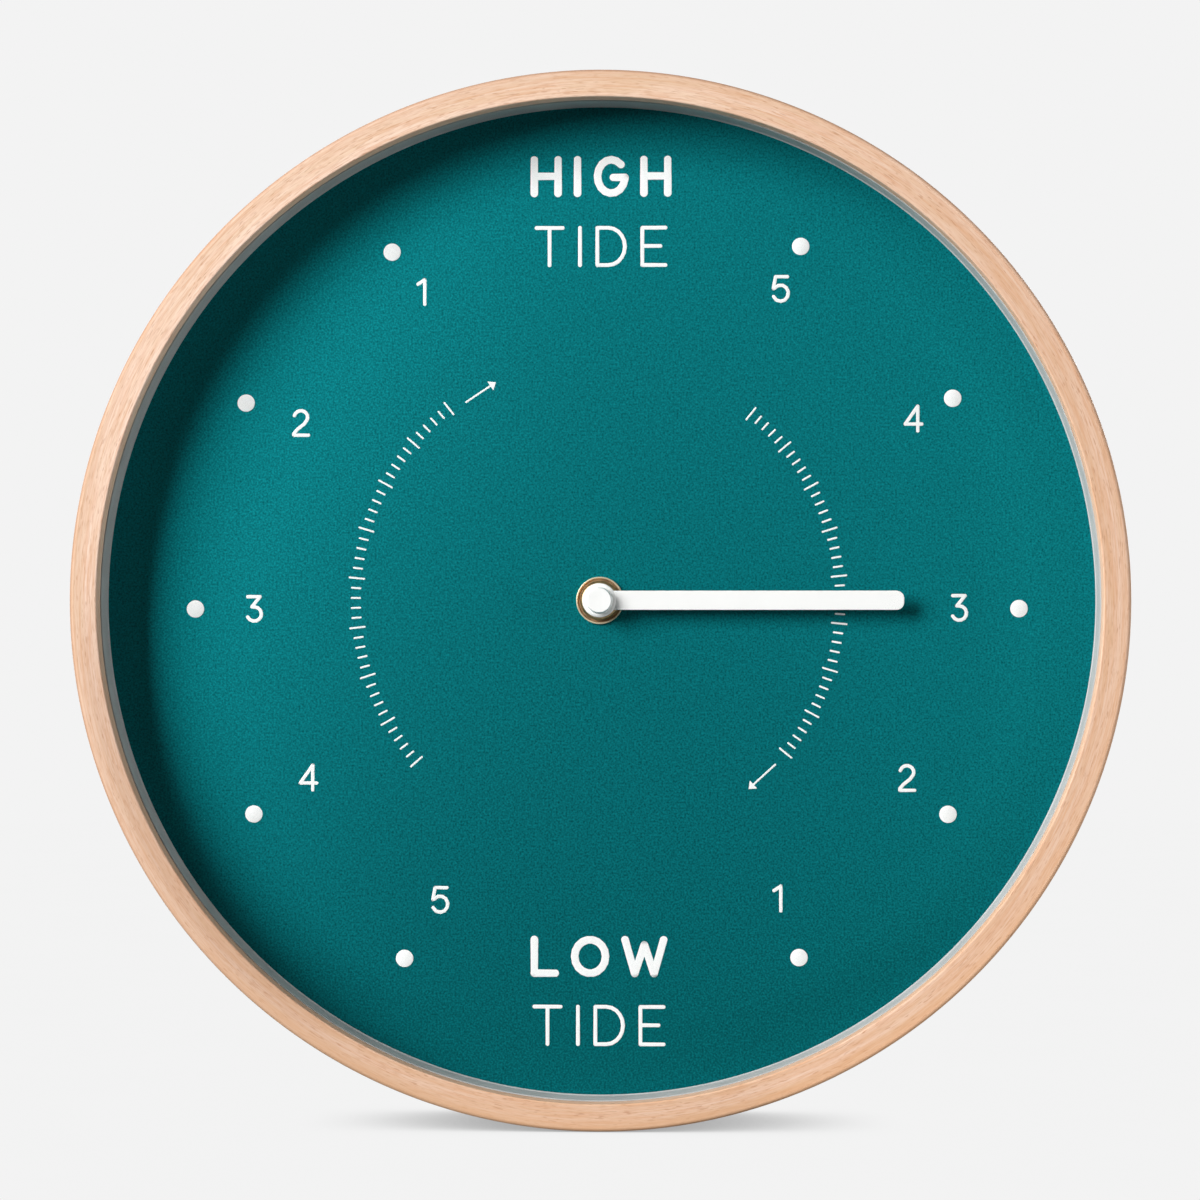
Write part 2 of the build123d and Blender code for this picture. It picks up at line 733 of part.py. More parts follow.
def contact_notches():
    """The two notches in the divider that let the battery contacts through."""
    width = CONTACT_WALL_GAP + CONTACT_THICK + CONTACT_NOTCH_CLEARANCE
    front = pcb_back + CONTACT_THICK - CONTACT_STRIP_DEPTH - CONTACT_NOTCH_CLEARANCE
    corner = CASE_CORNER - CASE_WALL
    low = divider_low - corner
    high = divider_high + corner
    right = block(inner_half - width, inner_half, low, high, front, case_back)
    return right + mirror(right, Plane.YZ)


def pillar(place):
    """A stepped pillar that carries the stator plates and the train plate."""
    body = rod(PILLAR_BASE_RADIUS, case_inner, stator_front, *place)
    body += rod(PILLAR_RADIUS, stator_front, plate_front, *place)
    return body + rod(PILLAR_PIN_RADIUS, plate_front, plate_back, *place)


def post(place, radius, top, pivot, engagement):
    """A post with a blind hole for the front pivot of an arbor."""
    body = rod(radius, case_inner, top, *place)
    return body - rod(pivot + RUNNING_CLEARANCE, top - engagement - RUNNING_CLEARANCE, top, *place)


def make_movement_rear_cover():
    cover = slab(case_outline(case_low, case_high, case_half, CASE_CORNER), case_rim, case_back)
    cover -= block(-case_half, case_half, case_low, divider_high + COVER_GAP, case_rim, case_back)
    cover -= rod(SETTING_ARBOR_RADIUS + RUNNING_CLEARANCE, case_rim, case_back, *setting_place)
    for side in (-1, 1):
        left = side * COVER_TONGUE_SPACING / 2 - COVER_TONGUE_WIDTH / 2
        right = left + COVER_TONGUE_WIDTH
        high = inner_high - COVER_GAP
        low = divider_high + COVER_GAP
        tongue_front = case_rim - COVER_TONGUE_LENGTH
        cover += block(left, right, high - COVER_TONGUE_THICK, high, tongue_front, case_rim)
        cover += block(left, right, low, low + COVER_TONGUE_THICK, tongue_front, case_rim)
    return cover


def make_train_plate():
    left, right = -LEFT_PILLARS_U, RIGHT_LOW_PILLAR_U
    low, high = -LEFT_LOW_PILLAR_V, RIGHT_HIGH_PILLAR_V
    outline = Pos((left + right) / 2, (low + high) / 2) * RectangleRounded(
        right - left + 2 * TRAIN_PLATE_MARGIN, high - low + 2 * TRAIN_PLATE_MARGIN, TRAIN_PLATE_MARGIN
    )
    plate = slab(outline, plate_front, plate_back)
    for place in pillar_places.values():
        plate -= rod(PILLAR_PIN_RADIUS + PILLAR_CLEARANCE, plate_front, plate_back, *place)
    for place in (centre_place, third_place, fifth_place, rotor_place):
        plate -= rod(PIVOT_RADIUS + RUNNING_CLEARANCE, plate_front, plate_back, *place)
    return plate - rod(SETTING_ARBOR_RADIUS + END_FLOAT, plate_front, plate_back, *setting_place)


# Battery and contacts
cell_axis = case_inner + CELL_CLEARANCE + CELL_RADIUS
cell_half = CELL_LENGTH / 2


def make_battery_cell():
    can_right = cell_half - CELL_NUB_LENGTH
    profile = make_face(
        Polyline(
            (-cell_half, 0),
            (-cell_half, CELL_RADIUS),
            (can_right, CELL_RADIUS),
            (can_right, CELL_NUB_RADIUS),
            (cell_half, CELL_NUB_RADIUS),
            (cell_half, 0),
            close=True,
        )
    )
    corners = [v for v in profile.vertices() if abs(v.Y - CELL_RADIUS) < TOUCH]
    cell = revolve(fillet(corners, CELL_ROUND), Axis.X)
    return Pos(0, cell_axis, cell_v) * cell


def make_contact():
    """The positive contact: a plate in the bay, a strip along the wall and a foot on the circuit board."""
    outer = inner_half - CONTACT_WALL_GAP
    inner = outer - CONTACT_THICK
    foot_back = pcb_back + CONTACT_THICK
    plate_low = cell_v - CONTACT_PLATE_HEIGHT / 2
    plate_high = cell_v + CONTACT_PLATE_HEIGHT / 2
    contact = block(
        inner, outer, plate_low, plate_high, cell_axis - CONTACT_PLATE_HEIGHT / 2, foot_back
    )
    contact += block(inner, outer, plate_high, CONTACT_TOP, foot_back - CONTACT_STRIP_DEPTH, foot_back)
    contact += block(
        outer - CONTACT_FOOT_WIDTH, outer, CONTACT_TOP - CONTACT_FOOT_HEIGHT, CONTACT_TOP, pcb_back, foot_back
    )
    dimple = inner - cell_half - CONTACT_CELL_GAP
    middle = inner - dimple / 2
    return contact + Pos(middle, cell_axis, cell_v) * Rot(0, 90, 0) * Cylinder(CONTACT_DIMPLE_RADIUS, dimple)


def make_negative_contact():
    return mirror(make_contact(), Plane.YZ)


# Setting train: hand tube, minute wheel, centre arbor and knob
minute_pinion_phase = mesh_phase(HOUR_TEETH, 0, MINUTE_DIRECTION, MINUTE_PINION_TEETH)
cannon_phase = mesh_phase(MINUTE_TEETH, 0, MINUTE_DIRECTION + 180, CANNON_TEETH)
setting_phase = mesh_phase(MINUTE_TEETH, 0, SETTING_DIRECTION, SETTING_TEETH)


def make_hour_wheel():
    wheel = slab(gear_face(HOUR_TEETH, hour_module, -SHIFT_SHARE, 0), hour_front, hour_back)
    wheel += rod(HOUR_TUBE_RADIUS, boss_front + PRESS_CLEARANCE, hour_front)
    return wheel - rod(tube_bore, boss_front, hour_back)


def make_minute_wheel():
    pinion = gear_face(MINUTE_PINION_TEETH, hour_module, SHIFT_SHARE, minute_pinion_phase)
    wheel_face = gear_face(MINUTE_TEETH, cannon_module, -SHIFT_SHARE, 0)
    wheel = slab(pinion, hour_front, minute_front, *minute_place)
    wheel += slab(wheel_face, minute_front, minute_back, *minute_place)
    return wheel - rod(MINUTE_POST_RADIUS + RUNNING_CLEARANCE, hour_front, minute_back, *minute_place)


def make_centre_arbor():
    seat_back = centre_back + ARBOR_SEAT_OVERRUN
    arbor = rod(CENTRE_ARBOR_RADIUS, arbor_front, cannon_front)
    face = gear_face(CANNON_TEETH, cannon_module, SHIFT_SHARE, cannon_phase)
    arbor += slab(face, cannon_front, cannon_back)
    arbor += rod(ARBOR_SEAT_RADIUS, cannon_back, seat_back)
    return arbor - rod(PIVOT_RADIUS + RUNNING_CLEARANCE, seat_back - ARBOR_BORE_DEPTH, seat_back)


def make_clutch_spring():
    bore = ARBOR_SEAT_RADIUS + PRESS_CLEARANCE
    spring_back = cannon_back + SPRING_HEIGHT
    return turned(
        [
            (bore, cannon_back),
            (bore, cannon_back + SPRING_STRIP),
            (SPRING_RADIUS - SPRING_STRIP, spring_back),
            (SPRING_RADIUS, spring_back),
            (SPRING_RADIUS, spring_back - SPRING_STRIP),
            (bore + SPRING_STRIP, cannon_back),
        ]
    )


def make_setting_pinion():
    pivot_front = cannon_front - END_FLOAT - SETTING_PIVOT_DEPTH
    knob_grip = case_back + END_FLOAT + KNOB_GRIP_DEPTH
    arbor = rod(SETTING_PIVOT_RADIUS, pivot_front, cannon_front, *setting_place)
    face = gear_face(SETTING_TEETH, setting_module, SHIFT_SHARE, setting_phase)
    arbor += slab(face, cannon_front, cannon_back, *setting_place)
    return arbor + rod(SETTING_ARBOR_RADIUS, cannon_back, knob_grip, *setting_place)


def make_setting_knob():
    knob_front = case_back + END_FLOAT
    knob_back = knob_front + KNOB_THICK
    knob = rod(KNOB_RADIUS, knob_front, knob_back)
    knob = fillet(rims(knob, KNOB_RADIUS, knob_back), KNOB_ROUND)
    flute = Circle(KNOB_FLUTE_RADIUS)
    flutes = Sketch() + PolarLocations(KNOB_RADIUS, KNOB_FLUTES) * flute
    knob -= slab(flutes, knob_front, knob_back)
    grip_back = knob_front + KNOB_GRIP_DEPTH + PRESS_CLEARANCE
    knob -= rod(SETTING_ARBOR_RADIUS + PRESS_CLEARANCE, knob_front, grip_back)
    return Pos(setting_place[0], 0, setting_place[1]) * knob


# Time train: rotor, fifth, second, third and centre wheels
fifth_phase = mesh_phase(ROTOR_TEETH, 0, ROTOR_DIRECTION + 180, FIFTH_TEETH)
second_phase = mesh_phase(FIFTH_PINION_TEETH, 0, FIFTH_DIRECTION + 180, SECOND_TEETH)
third_phase = mesh_phase(SECOND_PINION_TEETH, 0, THIRD_DIRECTION, THIRD_TEETH)
centre_phase = mesh_phase(THIRD_PINION_TEETH, 0, THIRD_DIRECTION + 180, CENTRE_TEETH)
rear_pivot = plate_front + PIVOT_ENGAGEMENT


def train_wheel(place, pinion, pinion_front, wheel, wheel_front, arbor_start):
    """A moulded wheel with its pinion in front, on an arbor that reaches the train plate."""
    body = rod(PIVOT_RADIUS, arbor_start, rear_pivot, *place)
    body += slab(pinion, pinion_front, wheel_front, *place)
    return body + slab(wheel, wheel_front, wheel_front + WHEEL_THICK, *place)


def make_centre_wheel():
    face = gear_face(CENTRE_TEETH, centre_module, -SHIFT_SHARE, centre_phase)
    face -= crossed(CENTRE_TEETH, centre_module)
    wheel = slab(face, centre_front, centre_back)
    return wheel - rod(ARBOR_SEAT_RADIUS + RUNNING_CLEARANCE, centre_front, centre_back)


def make_third_wheel():
    pinion = gear_face(THIRD_PINION_TEETH, centre_module, SHIFT_SHARE, 0)
    wheel = gear_face(THIRD_TEETH, third_module, -SHIFT_SHARE, third_phase)
    wheel -= crossed(THIRD_TEETH, third_module)
    start = post_top - PIVOT_ENGAGEMENT
    return train_wheel(third_place, pinion, centre_front - PINION_LEAD, wheel, third_front, start)


def make_second_wheel():
    pinion = gear_face(SECOND_PINION_TEETH, third_module, SHIFT_SHARE, 0)
    wheel = gear_face(SECOND_TEETH, second_module, -SHIFT_SHARE, second_phase)
    wheel -= crossed(SECOND_TEETH, second_module)
    start = centre_back + ARBOR_SEAT_OVERRUN - ARBOR_BORE_DEPTH + RUNNING_CLEARANCE
    return train_wheel(centre_place, pinion, third_front - PINION_LEAD, wheel, second_front, start)


def make_fifth_wheel():
    pinion = gear_face(FIFTH_PINION_TEETH, second_module, SHIFT_SHARE, 0)
    wheel = gear_face(FIFTH_TEETH, fifth_module, -SHIFT_SHARE, fifth_phase)
    wheel -= crossed(FIFTH_TEETH, fifth_module)
    start = post_top - PIVOT_ENGAGEMENT
    return train_wheel(fifth_place, pinion, second_front - PINION_LEAD, wheel, fifth_front, start)


def make_rotor_pinion():
    start = case_inner + ROTOR_POST_HEIGHT - PIVOT_ENGAGEMENT
    body = rod(PIVOT_RADIUS, start, rear_pivot, *rotor_place)
    body += rod(MAGNET_BORE_RADIUS, magnet_front, fifth_front - PINION_LEAD, *rotor_place)
    face = gear_face(ROTOR_TEETH, fifth_module, SHIFT_SHARE, 0)
    return body + slab(face, fifth_front - PINION_LEAD, fifth_back + PINION_LEAD, *rotor_place)


# Motor
magnet_front = stator_front + STATOR_THICK / 2 - MAGNET_THICK / 2


def make_rotor_magnet():
    bore = MAGNET_BORE_RADIUS + PRESS_CLEARANCE
    return ring(MAGNET_RADIUS, bore, magnet_front, magnet_front + MAGNET_THICK, *rotor_place)


def stator_plate(split, end, foot_inner, pillar_place):
    """A stator plate from the rotor to one end of the coil core. It has a rotor hole and a pillar hole."""
    core_left = coil_centre + CORE_WIDTH / 2
    right = rotor_place[0] + MAGNET_RADIUS + ROTOR_AIR_GAP + STATOR_MARGIN
    outline = make_face(
        Polyline(
            (right, split),
            (right, end),
            (-core_left, end),
            (-core_left, foot_inner),
            (-stator_left, foot_inner),
            (-stator_left, split),
            close=True,
        )
    )
    outline -= Pos(*rotor_place) * Circle(MAGNET_RADIUS + ROTOR_AIR_GAP)
    outline -= Pos(*pillar_place) * Circle(PILLAR_RADIUS + PILLAR_CLEARANCE)
    return slab(outline, stator_front, stator_back)


def make_stator_lower_plate():
    end = -COIL_BOTTOM - CORE_OVERRUN
    return stator_plate(
        rotor_place[1] - STATOR_SPLIT / 2, end, end + STATOR_FOOT_HEIGHT, pillar_places["left_low"]
    )


def make_stator_upper_plate():
    end = COIL_TOP + CORE_OVERRUN
    return stator_plate(
        rotor_place[1] + STATOR_SPLIT / 2, end, end - STATOR_FOOT_HEIGHT, pillar_places["left_high"]
    )


def upright(shape, low, high):
    """A prism along Z at the coil's place, from a sketch across the coil's axis."""
    return extrude(Plane.XY.offset(low) * Pos(-coil_centre, coil_axis) * shape, high - low)


def make_coil_bobbin():
    bobbin = upright(Circle(COIL_TUBE_RADIUS), -COIL_BOTTOM, COIL_TOP)
    bobbin += upright(Circle(COIL_FLANGE_RADIUS), -COIL_BOTTOM, COIL_FLANGE_THICK - COIL_BOTTOM)
    bobbin += upright(Circle(COIL_FLANGE_RADIUS), COIL_TOP - COIL_FLANGE_THICK, COIL_TOP)
    slot = Rectangle(CORE_WIDTH + 2 * CORE_CLEARANCE, CORE_THICK + 2 * CORE_CLEARANCE)
    return bobbin - upright(slot, -COIL_BOTTOM, COIL_TOP)


def make_coil_winding():
    inner = COIL_TUBE_RADIUS + PRESS_CLEARANCE
    low = COIL_FLANGE_THICK - COIL_BOTTOM + PRESS_CLEARANCE
    high = COIL_TOP - COIL_FLANGE_THICK - PRESS_CLEARANCE
    return upright(Circle(COIL_WINDING_RADIUS) - Circle(inner), low, high)


def make_coil_core():
    return upright(Rectangle(CORE_WIDTH, CORE_THICK), -COIL_BOTTOM - CORE_OVERRUN, COIL_TOP + CORE_OVERRUN)


# Circuit
def make_circuit_board():
    board = block(-pcb_half, pcb_half, PCB_BOTTOM, PCB_TOP, pcb_front, pcb_back)
    for side in (-1, 1):
        hole = PILLAR_PIN_RADIUS + PILLAR_CLEARANCE
        u = side * (pcb_half - PCB_POST_INSET)
        board -= rod(hole, pcb_front, pcb_back, u, PCB_TOP - PCB_POST_INSET)
    chip = rod(CHIP_RADIUS, pcb_back, pcb_back + CHIP_HEIGHT, CHIP_SPACING, (PCB_BOTTOM + PCB_TOP) / 2)
    chip_rim = chip.edges().filter_by(GeomType.CIRCLE).sort_by(Axis.Y)[-1]
    return board + fillet(chip_rim, CHIP_HEIGHT / 2)


def make_quartz_crystal():
    axis_depth = pcb_front - CRYSTAL_GAP - CRYSTAL_RADIUS
    can = Rot(0, 90, 0) * Cylinder(CRYSTAL_RADIUS, CRYSTAL_LENGTH)
    return Pos(CRYSTAL_PLACE, axis_depth, CRYSTAL_HEIGHT) * can


# Every piece under its own name
PIECES = {
    "frame_ring": make_frame_ring,
    "front_glass": make_front_glass,
    "spacer_ring": make_spacer_ring,
    "dial_plate": make_dial_plate,
    "backing_board": make_backing_board,
    "retaining_brackets": make_retaining_brackets,
    "bracket_screws": make_bracket_screws,
    "hanger_block": make_hanger_block,
    "hanger_plate": make_hanger_plate,
    "hanger_screws": make_hanger_screws,
    "threaded_bushing": make_threaded_bushing,
    "dial_washer": make_dial_washer,
    "hub_nut": make_hub_nut,
    "rubber_washer": make_rubber_washer,
    "tide_hand": make_tide_hand,
    "hand_cap": make_hand_cap,
    "movement_front_case": make_movement_front_case,
    "movement_rear_cover": make_movement_rear_cover,
    "train_plate": make_train_plate,
    "battery_cell": make_battery_cell,
    "positive_contact": make_contact,
    "negative_contact": make_negative_contact,
    "hour_wheel": make_hour_wheel,
    "minute_wheel": make_minute_wheel,
    "centre_arbor": make_centre_arbor,
    "clutch_spring": make_clutch_spring,
    "setting_pinion": make_setting_pinion,
    "setting_knob": make_setting_knob,
    "centre_wheel": make_centre_wheel,
    "third_wheel": make_third_wheel,
    "second_wheel": make_second_wheel,
    "fifth_wheel": make_fifth_wheel,
    "rotor_pinion": make_rotor_pinion,
    "rotor_magnet": make_rotor_magnet,
    "stator_lower_plate": make_stator_lower_plate,
    "stator_upper_plate": make_stator_upper_plate,
    "coil_bobbin": make_coil_bobbin,
    "coil_winding": make_coil_winding,
    "coil_core": make_coil_core,
    "circuit_board": make_circuit_board,
    "quartz_crystal": make_quartz_crystal,
}

os.makedirs("parts", exist_ok=True)
for name, make in PIECES.items():
    made = make()
    solids = made if isinstance(made, list) else [made]
    piece = Compound([s for shape in solids for s in shape.solids()])
    export_step(piece, f"parts/{name}.step")
for name, place in (("minute", minute_place), ("setting", setting_place), ("third", third_place),
                    ("fifth", fifth_place), ("rotor", rotor_place)):
    print(f"{name} arbor at X {place[0]:.4f}, Z {place[1]:.4f}")
print(f"cell axis at Y {cell_axis:.3f}, Z {cell_v:.3f}; keyhole at Z {keyhole_v:.3f}")
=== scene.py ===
# %% [markdown]
# # A wooden tide clock
# The real object is a round wall clock with one hand. A bent beech hoop holds a clear pane, a pale
# inner ring and a teal dial, and a small battery movement sits behind the dial. The engineering model
# of all its pieces is loaded first and stays where it is. This lesson then dresses it: pieces that
# the eye rests on are modelled again with more detail, and every other piece gets its own finish.

import json
from math import cos, pi, radians, sin

import bmesh
import bpy
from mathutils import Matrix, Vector

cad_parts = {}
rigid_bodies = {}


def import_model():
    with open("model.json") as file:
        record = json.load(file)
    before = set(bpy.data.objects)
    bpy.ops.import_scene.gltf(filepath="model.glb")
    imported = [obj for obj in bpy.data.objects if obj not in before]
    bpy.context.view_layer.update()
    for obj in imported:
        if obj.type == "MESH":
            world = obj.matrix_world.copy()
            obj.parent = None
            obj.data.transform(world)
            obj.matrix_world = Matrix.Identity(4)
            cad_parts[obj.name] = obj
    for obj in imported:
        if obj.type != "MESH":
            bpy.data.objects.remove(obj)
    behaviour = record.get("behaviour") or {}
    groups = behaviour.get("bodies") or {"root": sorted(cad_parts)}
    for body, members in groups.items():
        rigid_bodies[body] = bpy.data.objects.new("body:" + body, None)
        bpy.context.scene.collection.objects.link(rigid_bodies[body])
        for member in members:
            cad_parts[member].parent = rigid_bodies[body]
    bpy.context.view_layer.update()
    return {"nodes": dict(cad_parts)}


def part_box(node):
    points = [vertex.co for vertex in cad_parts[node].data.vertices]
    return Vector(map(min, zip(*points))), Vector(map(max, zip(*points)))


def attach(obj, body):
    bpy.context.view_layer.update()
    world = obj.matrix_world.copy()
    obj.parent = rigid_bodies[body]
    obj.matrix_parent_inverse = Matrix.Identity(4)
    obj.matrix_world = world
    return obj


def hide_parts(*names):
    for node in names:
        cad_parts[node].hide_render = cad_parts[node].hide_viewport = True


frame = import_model()
MM = 0.001

# %% [markdown]
# ## Camera
# The photograph looks straight at the dial from about a metre away, a little to the right of the
# middle. A long lens from that distance shows a thin band of the hoop's inner wall all round the
# dial. The distance could be guessed from a usual lens. The ratio between the hoop's outer edge and
# the deeper dial edge gives it more directly, so the place below was fitted to those two edges.

# %% Place the camera
VIEW_DISTANCE = 0.95
FRAME_WIDTH = 0.3384
FRONT_PLANE = -0.045
CAMERA_RIGHT = 0.028
CAMERA_HEIGHT = -0.007
AIM_RIGHT = 0.00055
bpy.ops.object.select_all(action="DESELECT")
bpy.ops.object.camera_add(location=(CAMERA_RIGHT, FRONT_PLANE - VIEW_DISTANCE, CAMERA_HEIGHT))
camera = bpy.context.object
camera.name = "view_camera"
camera.data.sensor_width = 36.0
camera.data.lens = camera.data.sensor_width * VIEW_DISTANCE / FRAME_WIDTH
aim = Vector((AIM_RIGHT, FRONT_PLANE, 0.0)) - camera.location
camera.rotation_euler = aim.to_track_quat("-Z", "Y").to_euler()
camera.data.clip_start = 0.01
bpy.context.scene.camera = camera
print("lens in mm", round(camera.data.lens, 1))

# %% [markdown]
# ## Light
# One large soft lamp stands to the left and a little above, in front of the dial. Its size decides
# how softly the hoop's shadow ends on the dial: the shadow is full for about a centimetre and fades
# over two more, so the lamp fills just the directions that those two edges give. A weak lamp far to
# the right grazes the dial and lifts the shaded inner wall. One that lies low in front of the clock
# shines up to the top of that wall, as a white card would, and one behind the clock shows its back.
# No lamp shows itself to the camera, and the low one isn't mirrored in the pane.

# %% Set up the lamps
scene = bpy.context.scene
scene.view_settings.view_transform = "Standard"


def soft_lamp(name, place, size, power, target):
    """A rectangular lamp, size wide and high, that faces the target."""
    bpy.ops.object.light_add(type="AREA", location=place)
    lamp = bpy.context.object
    lamp.name = name
    lamp.data.shape = "RECTANGLE"
    lamp.data.size, lamp.data.size_y = size
    lamp.data.energy = power
    lamp.rotation_euler = (Vector(target) - lamp.location).to_track_quat("-Z", "Y").to_euler()
    lamp.visible_camera = False
    return lamp


key_lamp = soft_lamp("key_lamp", (-2.82, -1.9, 1.26), (3.0, 2.0), 350.0, (-2.82, 0.0, 1.26))
side_lamp = soft_lamp("side_lamp", (1.7, -0.5, 0.15), (0.6, 0.6), 11.0, (0.0, -0.03, 0.0))
low_lamp = soft_lamp("low_lamp", (0.3, -0.3, -0.145), (0.5, 0.5), 0.4, (0.3, -0.3, 0.0))
low_lamp.visible_glossy = False
rear_lamp = soft_lamp("rear_lamp", (0.85, 1.1, 0.4), (0.7, 0.7), 11.0, (0.0, 0.0, 0.0))
print("lamps", [lamp.name for lamp in (key_lamp, side_lamp, low_lamp, rear_lamp)])

# %% [markdown]
# ## The room
# The world stands for the room. In front of the clock it is almost dark, so that the shadow on the
# dial stays deep, and behind the clock it is a soft even light. Metal and glass see a pale room with a
# dark patch behind the camera, as a studio has, which keeps the pane clear when it is seen squarely.
# The camera itself sees a plain pale background, which adds no light to the clock.


# %% Light the room
def wired(tree, kind, output=0, settings=None, **inputs):
    """Adds a node, sets or wires its inputs by name or number, and returns one of its outputs."""
    node = tree.nodes.new("ShaderNode" + kind)
    for key, value in (settings or {}).items():
        setattr(node, key, value)
    for key, value in inputs.items():
        name = key[1:] if key[0] == "_" else key.replace("_", " ")
        socket = node.inputs[int(name) if name.isdigit() else name]
        if isinstance(value, bpy.types.NodeSocket):
            tree.links.new(value, socket)
        else:
            socket.default_value = value
    return node.outputs[output]


BACKGROUND = 0.896
ROOM_FRONT = 0.008
ROOM_BEHIND = 0.5
ROOM_TURN = (-0.1, 0.6)
MIRROR_FRONT = 0.01
MIRROR_TURN = (-0.88, 0.15)
world = bpy.data.worlds.new("studio")
scene.world = world
world.use_nodes = True
room = world.node_tree
room.nodes.clear()
towards = wired(room, "SeparateXYZ", 1, Vector=wired(room, "TexCoord"))
SOFT = {"interpolation_type": "SMOOTHSTEP"}


def room_from(turn, front, behind):
    """A brightness that changes between two values of the direction from front to behind."""
    return wired(room, "MapRange", 0, SOFT, _0=towards, _1=turn[0], _2=turn[1], _3=front, _4=behind)


light = room_from(ROOM_TURN, ROOM_FRONT, ROOM_BEHIND)
mirrored = room_from(MIRROR_TURN, MIRROR_FRONT, BACKGROUND)
rays = wired(room, "LightPath").node.outputs
light = wired(room, "MapRange", _0=rays["Is Glossy Ray"], _3=light, _4=mirrored)
light = wired(room, "MapRange", _0=rays["Is Camera Ray"], _3=light, _4=BACKGROUND)
light = wired(room, "MapRange", _0=rays["Is Transmission Ray"], _3=light, _4=BACKGROUND)
backdrop = wired(room, "Background", Color=(1.0, 1.0, 1.0, 1.0), Strength=light)
room_output = room.nodes.new("ShaderNodeOutputWorld")
room.links.new(backdrop, room_output.inputs["Surface"])
print("room light in front", ROOM_FRONT, "and behind", ROOM_BEHIND)

# %% [markdown]
# ## Helpers for modelling
# Each piece is made as by hand: a primitive, edit mode, a few operators, and a clean finish with its
# place in its mesh. The helpers below keep those steps short. Flat faces keep flat shading beside
# their rounds, because a pane whose shading leans at its edge bends what it mirrors.


# %% Start and finish a piece
def only(*pieces):
    """Selects these pieces and nothing else, and makes the first one active."""
    bpy.ops.object.select_all(action="DESELECT")
    for piece in pieces:
        piece.select_set(True)
    bpy.context.view_layer.objects.active = pieces[0]


def start(add, **sizes):
    """Adds one primitive with nothing else selected and goes into edit mode with all of it selected."""
    if bpy.context.mode != "OBJECT":
        bpy.ops.object.mode_set(mode="OBJECT")
    bpy.ops.object.select_all(action="DESELECT")
    add(**sizes)
    bpy.ops.object.mode_set(mode="EDIT")
    bpy.ops.mesh.select_all(action="SELECT")
    return bpy.context.object


def done(piece, name, crease=35.0):
    """Leaves edit mode, puts the piece's place into its mesh, and shades rounds smooth and flats flat."""
    if bpy.context.mode != "OBJECT":
        bpy.ops.object.mode_set(mode="OBJECT")
    only(piece)
    bpy.ops.object.transform_apply()
    bpy.ops.object.shade_smooth_by_angle(angle=radians(crease))
    bpy.ops.object.modifier_add(type="WEIGHTED_NORMAL")
    piece.modifiers[-1].keep_sharp = True
    bpy.ops.object.modifier_apply(modifier=piece.modifiers[-1].name)
    piece.name = name
    piece.data.name = name
    return piece


def pick(kind, test, among=None):
    """On the piece in edit mode, selects the VERT, EDGE or FACE parts whose middle, in mm, passes a test."""
    bpy.ops.mesh.select_mode(type=kind)
    place = bpy.context.edit_object.matrix_world
    shape = bmesh.from_edit_mesh(bpy.context.edit_object.data)
    parts = {"VERT": shape.verts, "EDGE": shape.edges, "FACE": shape.faces}[kind]
    chosen = []
    for part in parts:
        corners = [part] if kind == "VERT" else part.verts
        middle = place @ (sum((v.co for v in corners), Vector()) / len(corners))
        if (among is None or part.select) and test(middle / MM):
            chosen.append(part)
    bpy.ops.mesh.select_all(action="DESELECT")
    for part in chosen:
        part.select_set(True)
    shape.select_flush_mode()
    bmesh.update_edit_mesh(bpy.context.edit_object.data)
    return len(chosen)


def join(pieces, name, crease=35.0):
    """Makes one piece of several."""
    only(*pieces)
    bpy.ops.object.join()
    return done(pieces[0], name, crease)


# %% [markdown]
# ## Lines, turned pieces and flat pieces
# Almost everything that shows on a clock is turned or cut out of sheet. Both begin as a closed
# line, which is spun round an axis, or filled and given a thickness. Cylinders and cubes would
# need their edges and steps cut in afterwards.


# %% Draw, turn and cut out a piece
def drawn(corners, rounds=()):
    """Draws a closed line through (X, Y, Z) corners in mm and leaves it in edit mode.

    rounds lists (corner number, radius in mm, segments)."""
    spots = [Vector(corner) * MM for corner in corners]
    piece = start(bpy.ops.mesh.primitive_plane_add, size=MM, location=spots[0])
    bpy.ops.mesh.merge(type="CENTER")
    bpy.ops.mesh.select_mode(type="VERT")
    bpy.ops.mesh.select_all(action="SELECT")
    for here, there in zip(spots, spots[1:] + spots[:1]):
        bpy.ops.mesh.extrude_vertices_move(TRANSFORM_OT_translate={"value": there - here})
    bpy.ops.mesh.select_all(action="SELECT")
    bpy.ops.mesh.remove_doubles(threshold=1e-7)
    for number, radius, segments in rounds:
        spot = Vector(corners[number])
        pick("VERT", lambda v: (v - spot).length < 0.001)
        bpy.ops.mesh.bevel(offset=radius * MM, offset_type="OFFSET", segments=segments, affect="VERTICES")
    bpy.ops.mesh.select_all(action="SELECT")
    return piece


def spun(piece, name, middle, axis, steps):
    """Spins the line being edited once round an axis, and closes the seam and the poles."""
    bpy.ops.mesh.spin(steps=steps, angle=2 * pi, center=middle, axis=axis)
    bpy.ops.mesh.select_all(action="SELECT")
    bpy.ops.mesh.remove_doubles(threshold=2e-6)
    bpy.ops.mesh.dissolve_degenerate(threshold=1e-7)
    bpy.ops.mesh.select_all(action="SELECT")
    bpy.ops.mesh.normals_make_consistent(inside=False)
    return done(piece, name)


def turned(name, section, rounds=(), steps=128, at=(0.0, 0.0)):
    """A turned piece about an axis along Y through at. section lists (radius, depth) corners in mm."""
    piece = drawn([(at[0] + radius, depth, at[1]) for radius, depth in section], rounds)
    return spun(piece, name, (at[0] * MM, 0.0, at[1] * MM), (0.0, 1.0, 0.0), steps)


